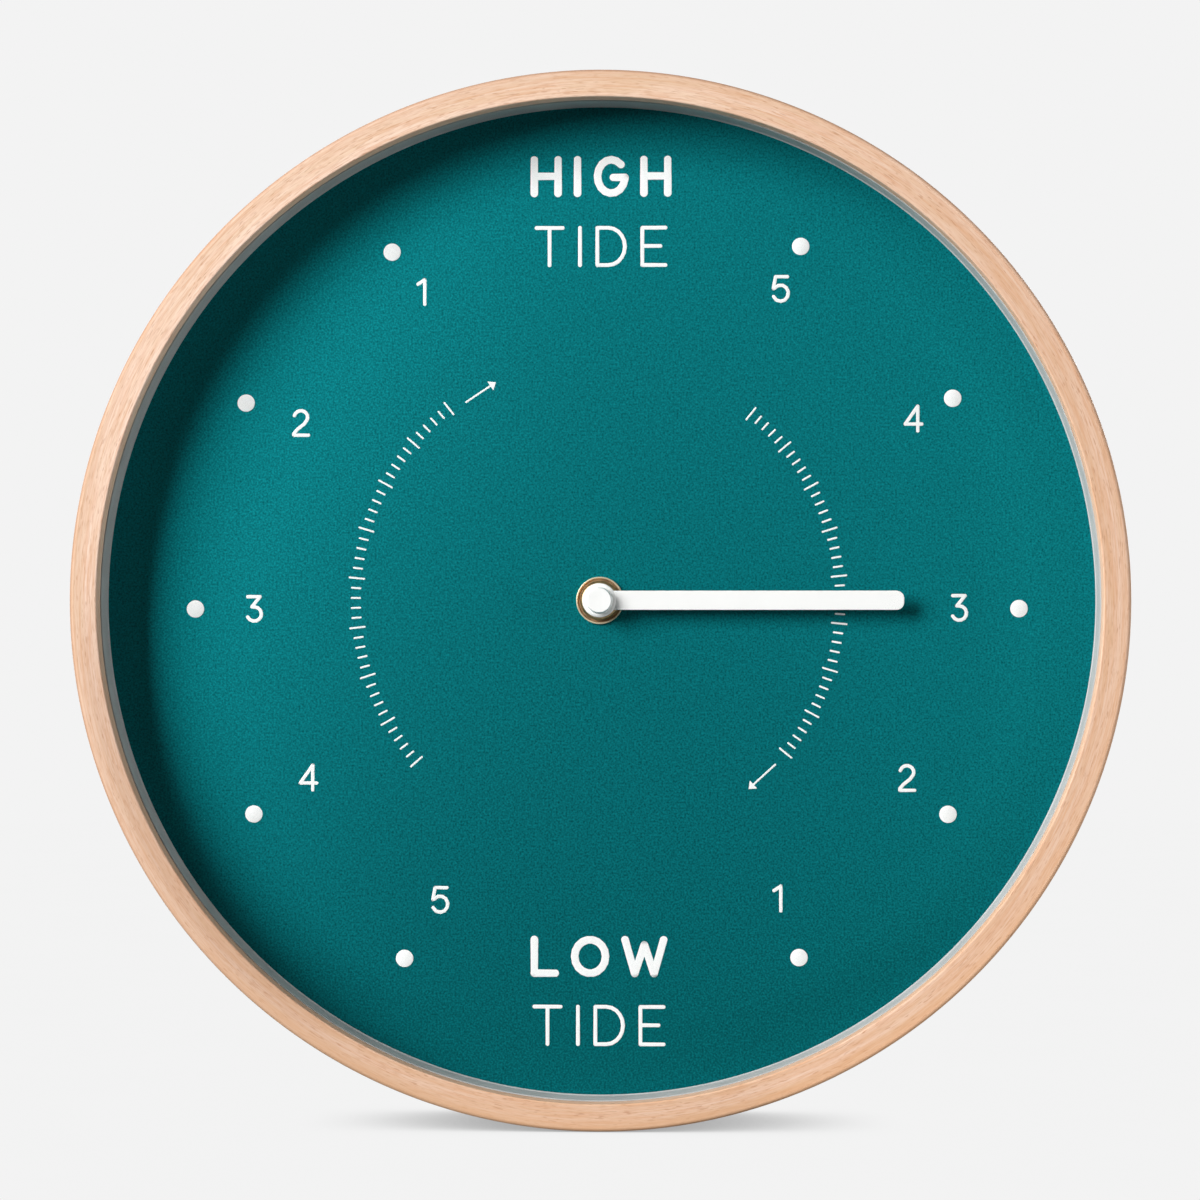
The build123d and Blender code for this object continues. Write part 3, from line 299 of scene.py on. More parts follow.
def cut_out(name, outline, front, back, rounds=(), edge=0.0):
    """A flat piece with an outline of (X, Z) corners, between two depths in mm.

    edge softens its front rim."""
    piece = drawn([(x, front, z) for x, z in outline], rounds)
    bpy.ops.mesh.edge_face_add()
    bpy.ops.mesh.extrude_region_move(TRANSFORM_OT_translate={"value": (0.0, (back - front) * MM, 0.0)})
    bpy.ops.mesh.select_all(action="SELECT")
    bpy.ops.mesh.normals_make_consistent(inside=False)
    if edge:
        pick("EDGE", lambda v: abs(v.y - front) < 0.001)
        bpy.ops.mesh.bevel(offset=edge * MM, segments=3, affect="EDGES")
    return done(piece, name)


# %% [markdown]
# ## Standing for a node
# A new piece that shows the same part as a node of the engineering model stands in its place, and
# the node itself is left where it is. Each piece also names the body that it moves with. One short
# function does all of that, so that no piece can miss a step.


# %% Take a CAD node's place
def place(piece, body, slot_name, finish, *nodes):
    """Gives a piece its finish, lets it ride on a body and stand for the CAD nodes that it replaces."""
    piece.data.materials.clear()
    piece.data.materials.append(finish)
    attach(piece, body)
    if nodes:
        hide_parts(*nodes)
    triangles = sum(len(face.vertices) - 2 for face in piece.data.polygons)
    print(piece.name, "on", body, "with", triangles, "triangles")
    return piece


# %% [markdown]
# ## Helpers for finishes
# A finish is a node tree. Its patterns are read from object coordinates in millimetres, so a
# grain size can be written as it would be measured on the real piece. Small helpers build
# the trees: one adds a node and wires its inputs, one makes a noise of a given size, and
# one turns a noise into a pair of colours.


# %% Build node trees
class Finish:
    """A material with a Principled shader and short calls for adding nodes to it."""

    def __init__(self, name, roughness=0.5, **plain):
        self.material = bpy.data.materials.new(name)
        self.material.use_nodes = True
        self.tree = self.material.node_tree
        self.shader = self.tree.nodes["Principled BSDF"]
        self.output = self.tree.nodes["Material Output"]
        self.set(Roughness=roughness, **plain)
        place = self.add("TexCoord", 3)
        self.mm = self.add("VectorMath", 0, {"operation": "SCALE"}, _0=place, Scale=1.0 / MM)

    def add(self, kind, output=0, settings=None, **inputs):
        """Adds a node to this finish."""
        return wired(self.tree, kind, output, settings, **inputs)

    def math(self, operation, first, second=0.0, third=0.0):
        """One step of arithmetic on numbers or sockets."""
        return self.add("Math", 0, {"operation": operation}, _0=first, _1=second, _2=third)

    def vector(self, operation, first, second=(0.0, 0.0, 0.0), output=0):
        """One step of vector arithmetic."""
        return self.add("VectorMath", output, {"operation": operation}, _0=first, _1=second)

    def stretch(self, sizes):
        """The coordinates divided by a size in mm along each axis, which gives noise those sizes."""
        return self.vector("MULTIPLY", self.mm, tuple(1.0 / size for size in sizes))

    def noise(self, coordinates, detail=2.0, roughness=0.5, distortion=0.0, w=None):
        """A cloudy number between 0 and 1, one unit of coordinates across."""
        settings = {"noise_dimensions": "3D" if w is None else "4D"}
        extra = {} if w is None else {"W": w}
        return self.add("TexNoise", 0, settings, Vector=coordinates, Scale=1.0, Detail=detail,
                        Roughness=roughness, Distortion=distortion, **extra)

    def span(self, value, low, high, to_low=0.0, to_high=1.0, smooth=False):
        """Stretches part of a value's range to another range, and clips the rest."""
        settings = SOFT if smooth else None
        return self.add("MapRange", 0, settings, _0=value, _1=low, _2=high, _3=to_low, _4=to_high)

    def blend(self, share, first, second):
        """Mixes two colours by a share."""
        colours = [c if isinstance(c, bpy.types.NodeSocket) else (*c, 1.0) for c in (first, second)]
        return self.add("Mix", 2, {"data_type": "RGBA"}, _0=share, _6=colours[0], _7=colours[1])

    def bump(self, height, depth_mm, strength=1.0):
        """Raises the surface by a height of 0 to 1 times a depth in mm."""
        return self.add("Bump", Height=height, Distance=depth_mm * MM, Strength=strength)

    def set(self, **sockets):
        """Wires values or sockets to the shader's inputs."""
        for key, value in sockets.items():
            socket = self.shader.inputs[key.replace("_", " ")]
            if isinstance(value, bpy.types.NodeSocket):
                self.tree.links.new(value, socket)
            else:
                socket.default_value = value
        return self.material


def srgb(red, green, blue):
    """The linear colour of an 8-bit screen colour."""
    shares = [v / 255 for v in (red, green, blue)]
    return tuple(s / 12.92 if s <= 0.0404 else ((s + 0.055) / 1.055) ** 2.4 for s in shares)


# %% [markdown]
# ## Beech
# The hoop is a strip of beech bent into a circle, so its grain follows the ring: soft bands, fine
# lines a few centimetres long, and the short brown flecks that mark beech. A straight wood
# texture would cut across the ring at its sides. Here the direction round the ring and the
# distances across it are separate coordinates of a four-dimensional noise, which closes on itself
# without a seam. The strip is painted paler at the upper left than at the lower right, a painted
# highlight on the side towards the lamp. The outer half of its face is painted a shade deeper at
# the lower right and on the left, the inner half is painted duller at the lower left, and a thin
# darker line is painted along the outer front edge, most on the lit side: all painted shade.
# Those tints follow the direction round the ring and the radius. They are painted light and
# shade, which a few lamps can't repeat exactly.


# %% Make the beech finishes
STRIP_RADIUS = 150.0
FACE_MIDDLE = 145.5
NEAR_EDGE = 149.5
# Directions round the ring of the hoop's painted light and shade: paler towards the lamp, duller, deeper, and
# darker to the left.
TOWARDS_PAINTED_LIGHT = (-0.7, 0.0, 0.71)
TOWARDS_DULL_SHADE = (-0.87, 0.0, -0.5)
TOWARDS_DEEP_SHADE = (0.35, 0.0, -0.94)
TOWARDS_LEFT = (-1.0, 0.0, 0.0)


def beech(name, bent):
    """Oiled beech. bent follows the ring about the dial's axis, and otherwise the grain runs along X."""
    wood = Finish(name, roughness=0.6, Specular_IOR_Level=0.2)
    split = wood.add("SeparateXYZ", Vector=wood.mm)
    x, y, z = split.node.outputs
    if bent:
        flat = wood.add("CombineXYZ", X=x, Z=z)
        around = wood.vector("NORMALIZE", flat)
        across = wood.vector("LENGTH", flat, output=1)
        light_side = wood.vector("DOT_PRODUCT", around, TOWARDS_PAINTED_LIGHT, output=1)
        shade = wood.vector("DOT_PRODUCT", around, TOWARDS_DULL_SHADE, output=1)
        down = wood.vector("DOT_PRODUCT", around, TOWARDS_DEEP_SHADE, output=1)
        left = wood.vector("DOT_PRODUCT", around, TOWARDS_LEFT, output=1)
    else:
        around = wood.add("CombineXYZ", X=wood.math("DIVIDE", x, STRIP_RADIUS))
        across = z
        light_side = shade = down = left = 0.0

    def grain(length, width, **more):
        """Noise drawn out along the grain, with the features' length and width in mm."""
        along = wood.add("VectorMath", 0, {"operation": "SCALE"}, _0=around, Scale=STRIP_RADIUS / length)
        depth = wood.add("CombineXYZ", Y=wood.math("DIVIDE", y, width))
        return wood.noise(wood.vector("ADD", along, depth), w=wood.math("DIVIDE", across, width), **more)

    bands = grain(80.0, 2.6, detail=2.0)
    patches = grain(9.0, 1.5, detail=2.0)
    lines = grain(16.0, 0.5, detail=3.0, roughness=0.6)
    pores = wood.span(grain(3.4, 0.3, detail=1.0), 0.5, 0.72)
    flecks = wood.span(grain(2.4, 0.34, detail=0.0), 0.68, 0.76)
    # Painted light: the strip is painted paler and pinker on the side towards the lamp.
    painted_light = wood.span(light_side, -0.3, 1.0, smooth=True)
    tan = wood.blend(painted_light, srgb(218, 177, 144), srgb(229, 198, 170))
    pink = wood.blend(painted_light, srgb(230, 196, 172), srgb(242, 214, 195))
    colour = wood.blend(wood.span(bands, 0.35, 0.65), tan, pink)
    colour = wood.blend(wood.span(patches, 0.4, 0.65, 0.0, 0.5), colour, pink)
    colour = wood.blend(wood.span(lines, 0.42, 0.66, 0.0, 0.6), colour, srgb(214, 160, 122))
    colour = wood.blend(wood.math("MULTIPLY", pores, 0.5), colour, srgb(196, 146, 112))
    colour = wood.blend(wood.math("MULTIPLY", flecks, 0.4), colour, srgb(170, 112, 76))
    if bent:
        # Painted shade: the inner half of the face is painted duller at the lower left, the outer half deeper
        # at the lower right, and the outer half darker on the left, least so straight towards the lamp.
        inner_half = wood.span(across, 148.4, 145.8)
        outer_half = wood.span(across, FACE_MIDDLE, NEAR_EDGE)
        painted_dull_shade = wood.math("MULTIPLY", inner_half, wood.span(shade, 0.8, 0.98, smooth=True))
        colour = wood.blend(wood.math("MULTIPLY", painted_dull_shade, 0.38), colour, srgb(172, 132, 104))
        painted_deep_shade = wood.math("MULTIPLY", outer_half, wood.span(down, 0.2, 0.9, smooth=True))
        colour = wood.blend(wood.math("MULTIPLY", painted_deep_shade, 0.6), colour, srgb(220, 168, 122))
        painted_rim = wood.math("MULTIPLY", outer_half, wood.span(left, -0.6, 0.0, smooth=True))
        painted_rim = wood.math("MULTIPLY", painted_rim, wood.span(light_side, 0.85, 0.97, 0.5, 0.25, smooth=True))
        colour = wood.blend(painted_rim, colour, srgb(206, 165, 131))
        # Painted shade: a thin darker line along the outer front edge, strongest on the side that the lamp
        # lights.
        painted_edge_shade = wood.math("MULTIPLY", wood.span(across, 149.0, 149.7), wood.span(y, -44.6, -42.0, 1.0, 0.0))
        lit = wood.span(light_side, -0.5, 0.6, 0.1, 0.75)
        colour = wood.blend(wood.math("MULTIPLY", painted_edge_shade, lit), colour, srgb(164, 124, 98))
    height = wood.math("ADD", wood.math("MULTIPLY", lines, 0.6), wood.math("MULTIPLY", flecks, -0.4))
    return wood.set(
        Base_Color=colour,
        Roughness=wood.span(lines, 0.2, 0.8, 0.52, 0.66),
        Normal=wood.bump(height, 0.05, 0.5),
    )


BENT_BEECH = beech("bent_beech", True)
BLOCK_BEECH = beech("block_beech", False)
print("made", BENT_BEECH.name, "and", BLOCK_BEECH.name)

# %% [markdown]
# ## Dial print, ink and pane
# The dial is a thin sheet printed in teal with a fine tooth, like screen printing. The teal is
# painted paler towards the upper left and a little deeper at the bottom, in the middle and at the
# very edge, where painted shade lies along the wall. A tilted plane, a bowl and a twist of the left
# half give that when they are added together. It is painted light and shade, as on the hoop. The
# marks are white ink on top of the sheet. The pane has almost no reflection when looked at
# squarely and more of it at a low angle, so it is a clear shader mixed with a mirror by the angle
# of view. The Fresnel node would do that too, but at the pane's rear side it takes slanting light
# for totally reflected, which takes the lamp's light from the dial.


# %% Make the dial print, the ink and the pane
TOOTH = 0.55
# How the teal's painted light and shade lean: paler up and to the left, deeper in the middle and at the edge.
LIGHT_TILT_UP = 0.0016
LIGHT_TILT_ACROSS = -0.0009
LIGHT_BOWL = 0.0000225
LIGHT_TWIST = -0.0000167
EDGE_START = 126.0
EDGE_END = 142.0
EDGE_SHADE_SHARE = 0.8
dial_coat = Finish("dial_teal", roughness=0.85, Specular_IOR_Level=0.0)
tooth = dial_coat.noise(dial_coat.stretch((TOOTH,) * 3), detail=1.0, roughness=0.5)
parts = dial_coat.add("SeparateXYZ", Vector=dial_coat.mm).node.outputs
across, up = parts["X"], parts["Z"]
# Painted light and shade: the teal is painted paler towards the upper left and deeper at the bottom and in
# the middle.
strength = dial_coat.math("MULTIPLY_ADD", up, LIGHT_TILT_UP, 1.0)
strength = dial_coat.math("MULTIPLY_ADD", across, LIGHT_TILT_ACROSS, strength)
strength = dial_coat.math("MULTIPLY_ADD", dial_coat.math("MULTIPLY", across, across), LIGHT_BOWL, strength)
left = dial_coat.math("MINIMUM", across, 0.0)
strength = dial_coat.math("MULTIPLY_ADD", dial_coat.math("MULTIPLY", left, up), LIGHT_TWIST, strength)
radius = dial_coat.vector("LENGTH", dial_coat.mm, output=1)
# Painted shade: the teal is painted deeper near the wall at the edge.
strength = dial_coat.math("MULTIPLY", strength, dial_coat.span(radius, EDGE_START, EDGE_END, 1.0, EDGE_SHADE_SHARE))
painted_light_share = dial_coat.span(strength, 0.78, 1.35)
base = dial_coat.blend(painted_light_share, srgb(7, 94, 99), srgb(12, 122, 128))
dial_coat.set(
    Base_Color=dial_coat.add(
        "HueSaturation",
        Value=dial_coat.span(tooth, 0.22, 0.78, 0.5, 1.5),
        Color=base,
    ),
    Normal=dial_coat.bump(tooth, 0.03, 0.5),
)
DIAL_TEAL = dial_coat.material

ink = Finish("white_ink", roughness=0.7, Specular_IOR_Level=0.1)
speckle = ink.noise(ink.stretch((0.5, 0.5, 0.5)), detail=1.0)
ink.set(
    Base_Color=ink.blend(ink.span(speckle, 0.3, 0.7), srgb(246, 248, 247), srgb(253, 254, 253)),
    Normal=ink.bump(speckle, 0.01, 0.3),
)
WHITE_INK = ink.material

glass = Finish("pane_glass", roughness=0.03, Metallic=1.0)
smear = glass.noise(glass.stretch((40.0,) * 3), detail=3.0)
glass.set(Base_Color=(0.93, 0.98, 0.96, 1.0), Roughness=glass.span(smear, 0.3, 0.7, 0.02, 0.06))
edge_on = glass.math("POWER", glass.add("LayerWeight", 1, Blend=0.5), 5.0)
edge_on = glass.span(edge_on, 0.0, 1.0, 0.02, 0.5)
clear = glass.add("BsdfTransparent", Color=(1.0, 1.0, 1.0, 1.0))
mixed = glass.add("MixShader", _0=edge_on, _1=clear, _2=glass.shader.outputs[0])
glass.tree.links.new(mixed, glass.output.inputs["Surface"])
PANE_GLASS = glass.material
print("made", DIAL_TEAL.name, WHITE_INK.name, PANE_GLASS.name)

# %% [markdown]
# ## Plastics and lacquer
# Moulded plastic has a fine spark-eroded grain and small differences in gloss. The lacquer of the
# hand is smoother. One function makes all of them, and each gets the colour, gloss and grain of its
# piece.


# %% Make the plastics and the lacquer
def moulded(name, colour, roughness, grain_mm=0.25, grain_depth_mm=0.01, spread=0.06, **plain):
    """Moulded plastic or lacquer with a fine grain and slight unevenness in tone and gloss."""
    cast = Finish(name, roughness=roughness, **plain)
    grain = cast.noise(cast.stretch((grain_mm,) * 3), detail=2.0)
    cloud = cast.noise(cast.stretch((9.0,) * 3), detail=3.0)
    darker = tuple(v * (1.0 - spread) for v in colour)
    paler = tuple(min(1.0, v * (1.0 + spread)) for v in colour)
    return cast.set(
        Base_Color=cast.blend(cast.span(cloud, 0.3, 0.7), darker, paler),
        Roughness=cast.span(cloud, 0.3, 0.7, roughness - 0.05, roughness + 0.05),
        Normal=cast.bump(grain, grain_depth_mm, 0.6),
    )


GREY_PLASTIC = moulded("grey_plastic", srgb(194, 194, 193), 0.5, Specular_IOR_Level=0.2)
WHITE_LACQUER = moulded("white_lacquer", srgb(251, 251, 249), 0.5, 0.5, 0.004, 0.01, Specular_IOR_Level=0.2)
BLACK_PLASTIC = moulded("black_plastic", srgb(46, 47, 49), 0.5, 0.22, 0.02, 0.15)
SMOOTH_BLACK = moulded("smooth_black_plastic", srgb(34, 35, 37), 0.32, 0.5, 0.004, 0.1)
NATURAL_PLASTIC = moulded("natural_plastic", srgb(222, 216, 200), 0.4, spread=0.03)
BLACK_RUBBER = moulded("black_rubber", srgb(36, 36, 37), 0.75, 0.15, 0.02, 0.15)
FERRITE = moulded("ferrite", srgb(58, 56, 56), 0.5, 0.12, 0.01, 0.2)
print("made seven plastics")

# %% [markdown]
# ## Metals
# Turned brass shows fine rings from the tool, plated steel a cloudy crystal pattern, and winding wire
# its turns. All three are one metal shader with a different pattern: rings by the distance from an
# axis, clouds by noise, or turns by the height along the coil. The screws are yellow zinc, as wood
# screws often are.


# %% Make the metals
def metal(
    name, colour, roughness, pattern_mm=(0.08, 6.0, 0.08), depth_mm=0.004, rings=False, spread=0.12, painted_rim=None
):
    """Metal with a brushed, cloudy or turned surface. rings run about the dial's axis.

    The rim, given as two radii in mm, is where the rings change to a pale, less metallic band: a painted
    highlight."""
    plate = Finish(name, roughness=roughness, Metallic=1.0)
    if rings:
        flat = plate.vector("MULTIPLY", plate.mm, (1.0, 0.0, 1.0))
        radius = plate.vector("LENGTH", flat, output=1)
        marks = plate.span(plate.math("SINE", plate.math("MULTIPLY", radius, 2.0 * pi / 0.14)), -1.0, 1.0)
    else:
        marks = plate.noise(plate.stretch(pattern_mm), detail=3.0, roughness=0.6)
    cloud = plate.noise(plate.stretch((2.5,) * 3), detail=3.0)
    darker = tuple(v * (1.0 - spread) for v in colour)
    tone = plate.blend(plate.span(cloud, 0.3, 0.7), darker, colour)
    # Painted highlight: a pale, less metallic rim that looks lit all round.
    if painted_rim:
        painted_highlight = plate.span(radius, *painted_rim)
        tone = plate.blend(painted_highlight, tone, srgb(232, 218, 186))
        plate.set(Metallic=plate.math("SUBTRACT", 1.0, plate.math("MULTIPLY", painted_highlight, 0.55)))
    return plate.set(
        Base_Color=tone,
        Roughness=plate.span(cloud, 0.25, 0.75, roughness - 0.06, roughness + 0.08),
        Normal=plate.bump(marks, depth_mm, 0.5),
    )


WASHER_BRASS = metal("washer_brass", srgb(228, 194, 154), 0.4, rings=True, spread=0.25, painted_rim=(6.2, 6.45))
NUT_BRASS = metal("nut_brass", srgb(212, 172, 126), 0.34, rings=True, spread=0.25)
TURNED_BRASS = metal("turned_brass", srgb(214, 178, 104), 0.3, pattern_mm=(3.0, 0.12, 3.0), depth_mm=0.01)
YELLOW_ZINC = metal("yellow_zinc", srgb(214, 188, 126), 0.3, pattern_mm=(0.5, 0.5, 0.5), spread=0.2)
ZINC_STEEL = metal("zinc_steel", srgb(196, 200, 206), 0.34, pattern_mm=(0.5, 0.5, 0.5), spread=0.2)
BRIGHT_STEEL = metal("bright_steel", srgb(205, 205, 203), 0.24, pattern_mm=(0.1, 0.1, 3.0))
CONTACT_BRASS = metal("contact_brass", srgb(222, 196, 128), 0.28, pattern_mm=(0.1, 3.0, 0.1))
SOFT_IRON = metal("soft_iron", srgb(120, 122, 126), 0.45, pattern_mm=(0.3, 0.3, 0.3), spread=0.2)
COPPER_WIRE = metal("copper_wire", srgb(198, 110, 62), 0.35, pattern_mm=(40.0, 40.0, 0.09), depth_mm=0.03)
print("made nine metals")

# %% [markdown]
# ## Board and laminate
# The backing board is hardboard: pressed brown fibres with a smooth waxy face. The circuit board is a
# green laminate with a faint weave.

# %% Make the board and the laminate
board = Finish("hardboard", roughness=0.6, Specular_IOR_Level=0.3)
fibres = board.noise(board.stretch((1.6, 1.6, 0.35)), detail=4.0, roughness=0.7, distortion=1.2)
specks = board.noise(board.stretch((0.5, 0.5, 0.5)), detail=3.0, roughness=0.6)
mottle = board.noise(board.stretch((26.0, 26.0, 26.0)), detail=3.0)
brown = board.blend(board.span(fibres, 0.35, 0.7), srgb(142, 102, 70), srgb(184, 142, 104))
brown = board.blend(board.span(mottle, 0.3, 0.7, 0.0, 0.35), brown, srgb(156, 114, 80))
brown = board.blend(board.span(specks, 0.62, 0.72, 0.0, 0.5), brown, srgb(92, 64, 44))
HARDBOARD = board.set(
    Base_Color=brown, Roughness=board.span(fibres, 0.3, 0.7, 0.5, 0.7), Normal=board.bump(fibres, 0.06, 0.5)
)

laminate = Finish("board_laminate", roughness=0.42)
threads = [laminate.add("SeparateXYZ", axis, Vector=laminate.mm) for axis in (0, 2)]
waves = [laminate.math("SINE", laminate.math("MULTIPLY", thread, 9.0)) for thread in threads]
weave = laminate.span(laminate.math("MULTIPLY", waves[0], waves[1]), -1.0, 1.0)
LAMINATE = laminate.set(
    Base_Color=laminate.blend(weave, srgb(28, 84, 52), srgb(36, 98, 60)),
    Normal=laminate.bump(weave, 0.01, 0.5),
)
print("made", HARDBOARD.name, LAMINATE.name)

# %% [markdown]
# ## The hoop
# The hoop's section is an L: a straight wall with a narrow lip at the front that keeps the pane in.
# Its outer front edge has the largest round, the inner one a small round, and the rear edges are only
# broken. Spinning that section gives the bent strip in one go. A torus or a cut cylinder would need
# more repair at the lip.

# %% Model the hoop
HOOP_RADIUS = 150.0
BORE_RADIUS = 144.6
LIP_RADIUS = 142.2
HOOP_FRONT = -45.0
PANE_FRONT = -39.0
hoop = turned(
    "hoop",
    [(LIP_RADIUS, HOOP_FRONT), (HOOP_RADIUS, HOOP_FRONT), (HOOP_RADIUS, 0.0),
     (BORE_RADIUS, 0.0), (BORE_RADIUS, PANE_FRONT), (LIP_RADIUS, PANE_FRONT)],
    rounds=[(0, 0.5, 3), (1, 1.2, 5), (2, 1.0, 4), (3, 0.3, 2)],
    steps=288,
)
place(hoop, "clock", "beech", BENT_BEECH, "frame_ring")

# %% [markdown]
# ## Pane and inner ring
# The pane is a disc with a ground edge. The inner ring behind it keeps it off the hand. The ring has a
# small foot where it stands on the dial, which catches the light as a thin bright line.

# %% Model the pane and the inner ring
SEAT_RADIUS = 144.35
RING_BORE = 142.15
FOOT_BORE = 141.9
PANE_BACK = -37.0
DIAL_FACE = -27.0
pane = turned(
    "pane",
    [(0.0, PANE_FRONT), (SEAT_RADIUS, PANE_FRONT), (SEAT_RADIUS, PANE_BACK), (0.0, PANE_BACK)],
    rounds=[(1, 0.3, 2), (2, 0.3, 2)],
    steps=192,
)
place(pane, "clock", "pane", PANE_GLASS, "front_glass")
inner_ring = turned(
    "inner_ring",
    [(RING_BORE, PANE_BACK), (SEAT_RADIUS, PANE_BACK), (SEAT_RADIUS, DIAL_FACE),
     (FOOT_BORE, DIAL_FACE), (FOOT_BORE, -27.3), (RING_BORE, -27.6)],
    rounds=[(4, 0.1, 2), (0, 0.3, 2)],
    steps=288,
)
place(inner_ring, "clock", "grey_plastic", GREY_PLASTIC, "spacer_ring")

# %% [markdown]
# ## The dial and its printing
# The dial is a thin sheet with a hole for the threaded bushing. Its marks are a hair thicker than the
# ink really is, so that they stay clear of the sheet. Places on the dial are measured in the
# photograph's 1200 pixel frame. A line of sight from the camera through such a point meets the dial
# at the place wanted, which allows for the camera's slight turn.

# %% Model the dial sheet
DIAL_BACK = -26.0
BUSHING_HOLE = 4.1
INK = 0.05
PHOTO_WIDTH = 1200
dial = turned(
    "dial",
    [(BUSHING_HOLE, DIAL_FACE), (SEAT_RADIUS, DIAL_FACE),
     (SEAT_RADIUS, DIAL_BACK), (BUSHING_HOLE, DIAL_BACK)],
    rounds=[(0, 0.1, 2)],
    steps=192,
)
place(dial, "clock", "dial_print", DIAL_TEAL, "dial_plate")


def on_dial(px, py):
    """The place in mm on the dial that the camera shows at a point measured in the photograph."""
    spread = camera.data.sensor_width / camera.data.lens
    sight = Vector(((px / PHOTO_WIDTH - 0.5) * spread, (0.5 - py / PHOTO_WIDTH) * spread, -1.0))
    sight.rotate(camera.rotation_euler)
    spot = camera.location + sight * ((DIAL_FACE * MM - camera.location.y) / sight.y)
    return spot.x / MM, spot.z / MM


# %% [markdown]
# ## Strokes and characters
# The dial's numbers and words are drawn with a pen of even width and round ends. A font's letters
# would have square ends, so each character here is a few strokes, drawn inside a box one unit high.
# A stroke between two points is a flattened sphere whose far half is moved to the second point,
# which gives it both round ends at once.


# %% Draw strokes of ink
def stroke(points, width):
    """Pieces of ink of one pen width along points given as (X, Z) in mm on the dial."""
    pieces = []
    for here, there in zip(points, points[1:]):
        along = Vector((there[0] - here[0], 0.0, there[1] - here[1]))
        piece = start(bpy.ops.mesh.primitive_uv_sphere_add, segments=16, ring_count=8, radius=width / 2 * MM)
        bpy.ops.transform.resize(value=(1.0, 2 * INK / width, 1.0))
        pick("VERT", lambda v: v.dot(along) > 0.0001)
        bpy.ops.transform.translate(value=along * MM)
        bpy.ops.mesh.select_all(action="SELECT")
        bpy.ops.transform.translate(value=(here[0] * MM, DIAL_FACE * MM, here[1] * MM))
        bpy.ops.object.mode_set(mode="OBJECT")
        pieces.append(piece)
    return pieces


def bow(x, z, wide, tall, first, last, count=9):
    """Points on part of an ellipse, from one angle to another in degrees."""
    angles = [radians(first + (last - first) * number / count) for number in range(count + 1)]
    return [(x + wide * cos(angle), z + tall * sin(angle)) for angle in angles]


CHARACTERS = {
    "1": (0.27, [[(0.0, 0.82), (1.0, 1.0), (1.0, 0.0)]]),
    "2": (0.61, [
        bow(0.5, 0.735, 0.45, 0.265, 165, -25)
        + [(0.7, 0.45), (0.25, 0.23), (0.03, 0.07), (0.03, 0.0), (1.0, 0.0)]
    ]),
    "3": (0.61, [[(0.09, 1.0), (0.91, 1.0), (0.357, 0.585)] + bow(0.52, 0.295, 0.48, 0.29, 88, -155)]),
    "4": (0.67, [[(1.0, 0.275), (0.0, 0.275), (0.76, 1.0), (0.76, 0.0)]]),
    "5": (0.64, [[(0.94, 1.0), (0.19, 1.0), (0.05, 0.52)] + bow(0.51, 0.33, 0.49, 0.33, 140, -155)]),
    "H": (0.71, [[(0.0, 0.0), (0.0, 1.0)], [(1.0, 0.0), (1.0, 1.0)], [(0.0, 0.51), (1.0, 0.51)]]),
    "I": (0.0, [[(0.0, 0.0), (0.0, 1.0)]]),
    "G": (0.82, [bow(0.52, 0.5, 0.5, 0.5, 45, 352, 14) + [(1.02, 0.47), (0.6, 0.47)]]),
    "T": (0.7, [[(0.0, 1.0), (1.0, 1.0)], [(0.5, 1.0), (0.5, 0.0)]]),
    "D": (0.74, [[(0.4, 0.0), (0.0, 0.0), (0.0, 1.0)] + bow(0.4, 0.5, 0.6, 0.5, 90, -90, 10)]),
    "E": (0.62, [[(1.0, 1.0), (0.0, 1.0), (0.0, 0.0), (1.0, 0.0)], [(0.0, 0.51), (0.78, 0.51)]]),
    "L": (0.62, [[(0.0, 1.0), (0.0, 0.0), (1.0, 0.0)]]),
    "O": (0.92, [bow(0.5, 0.5, 0.5, 0.5, 0, 360, 18)]),
    "W": (1.15, [[(0.0, 1.0), (0.25, 0.0), (0.5, 0.85), (0.75, 0.0), (1.0, 1.0)]]),
}


def write(text, middle, height, pen, gap=0.0):
    """Writes text centred on an (X, Z) place in mm, with its overall height, pen width and gaps in mm."""
    tall = height - pen
    wide = sum(CHARACTERS[mark][0] for mark in text) * tall + gap * (len(text) - 1)
    cursor = middle[0] - wide / 2
    pieces = []
    for mark in text:
        share, strokes = CHARACTERS[mark]
        for points in strokes:
            spots = [(cursor + x * share * tall, middle[1] + (z - 0.5) * tall) for x, z in points]
            pieces += stroke(spots, pen)
        cursor += share * tall + gap
    return pieces


# %% [markdown]
# ## Numbers and words
# The dial counts the hours to the next tide, from 5 to 1 on both sides, and names the two tides at
# top and bottom, each in a heavy row above a light row.

# %% Print the numbers and the words
NUMBER_PLACES = [
    ("1", 421.5, 292.0), ("2", 301.0, 423.0), ("3", 254.0, 609.0), ("4", 308.5, 777.5), ("5", 440.0, 900.0),
    ("5", 780.5, 289.0), ("4", 913.5, 418.5), ("3", 959.0, 608.0), ("2", 907.0, 778.0), ("1", 777.5, 898.5),
]
NUMBER_HEIGHT = 8.07
NUMBER_PEN = 1.0
numbers = []
for text, px, py in NUMBER_PLACES:
    numbers += write(text, on_dial(px, py), NUMBER_HEIGHT, NUMBER_PEN)
place(join(numbers, "dial_numbers", 60.0), "clock", "dial_print", WHITE_INK)

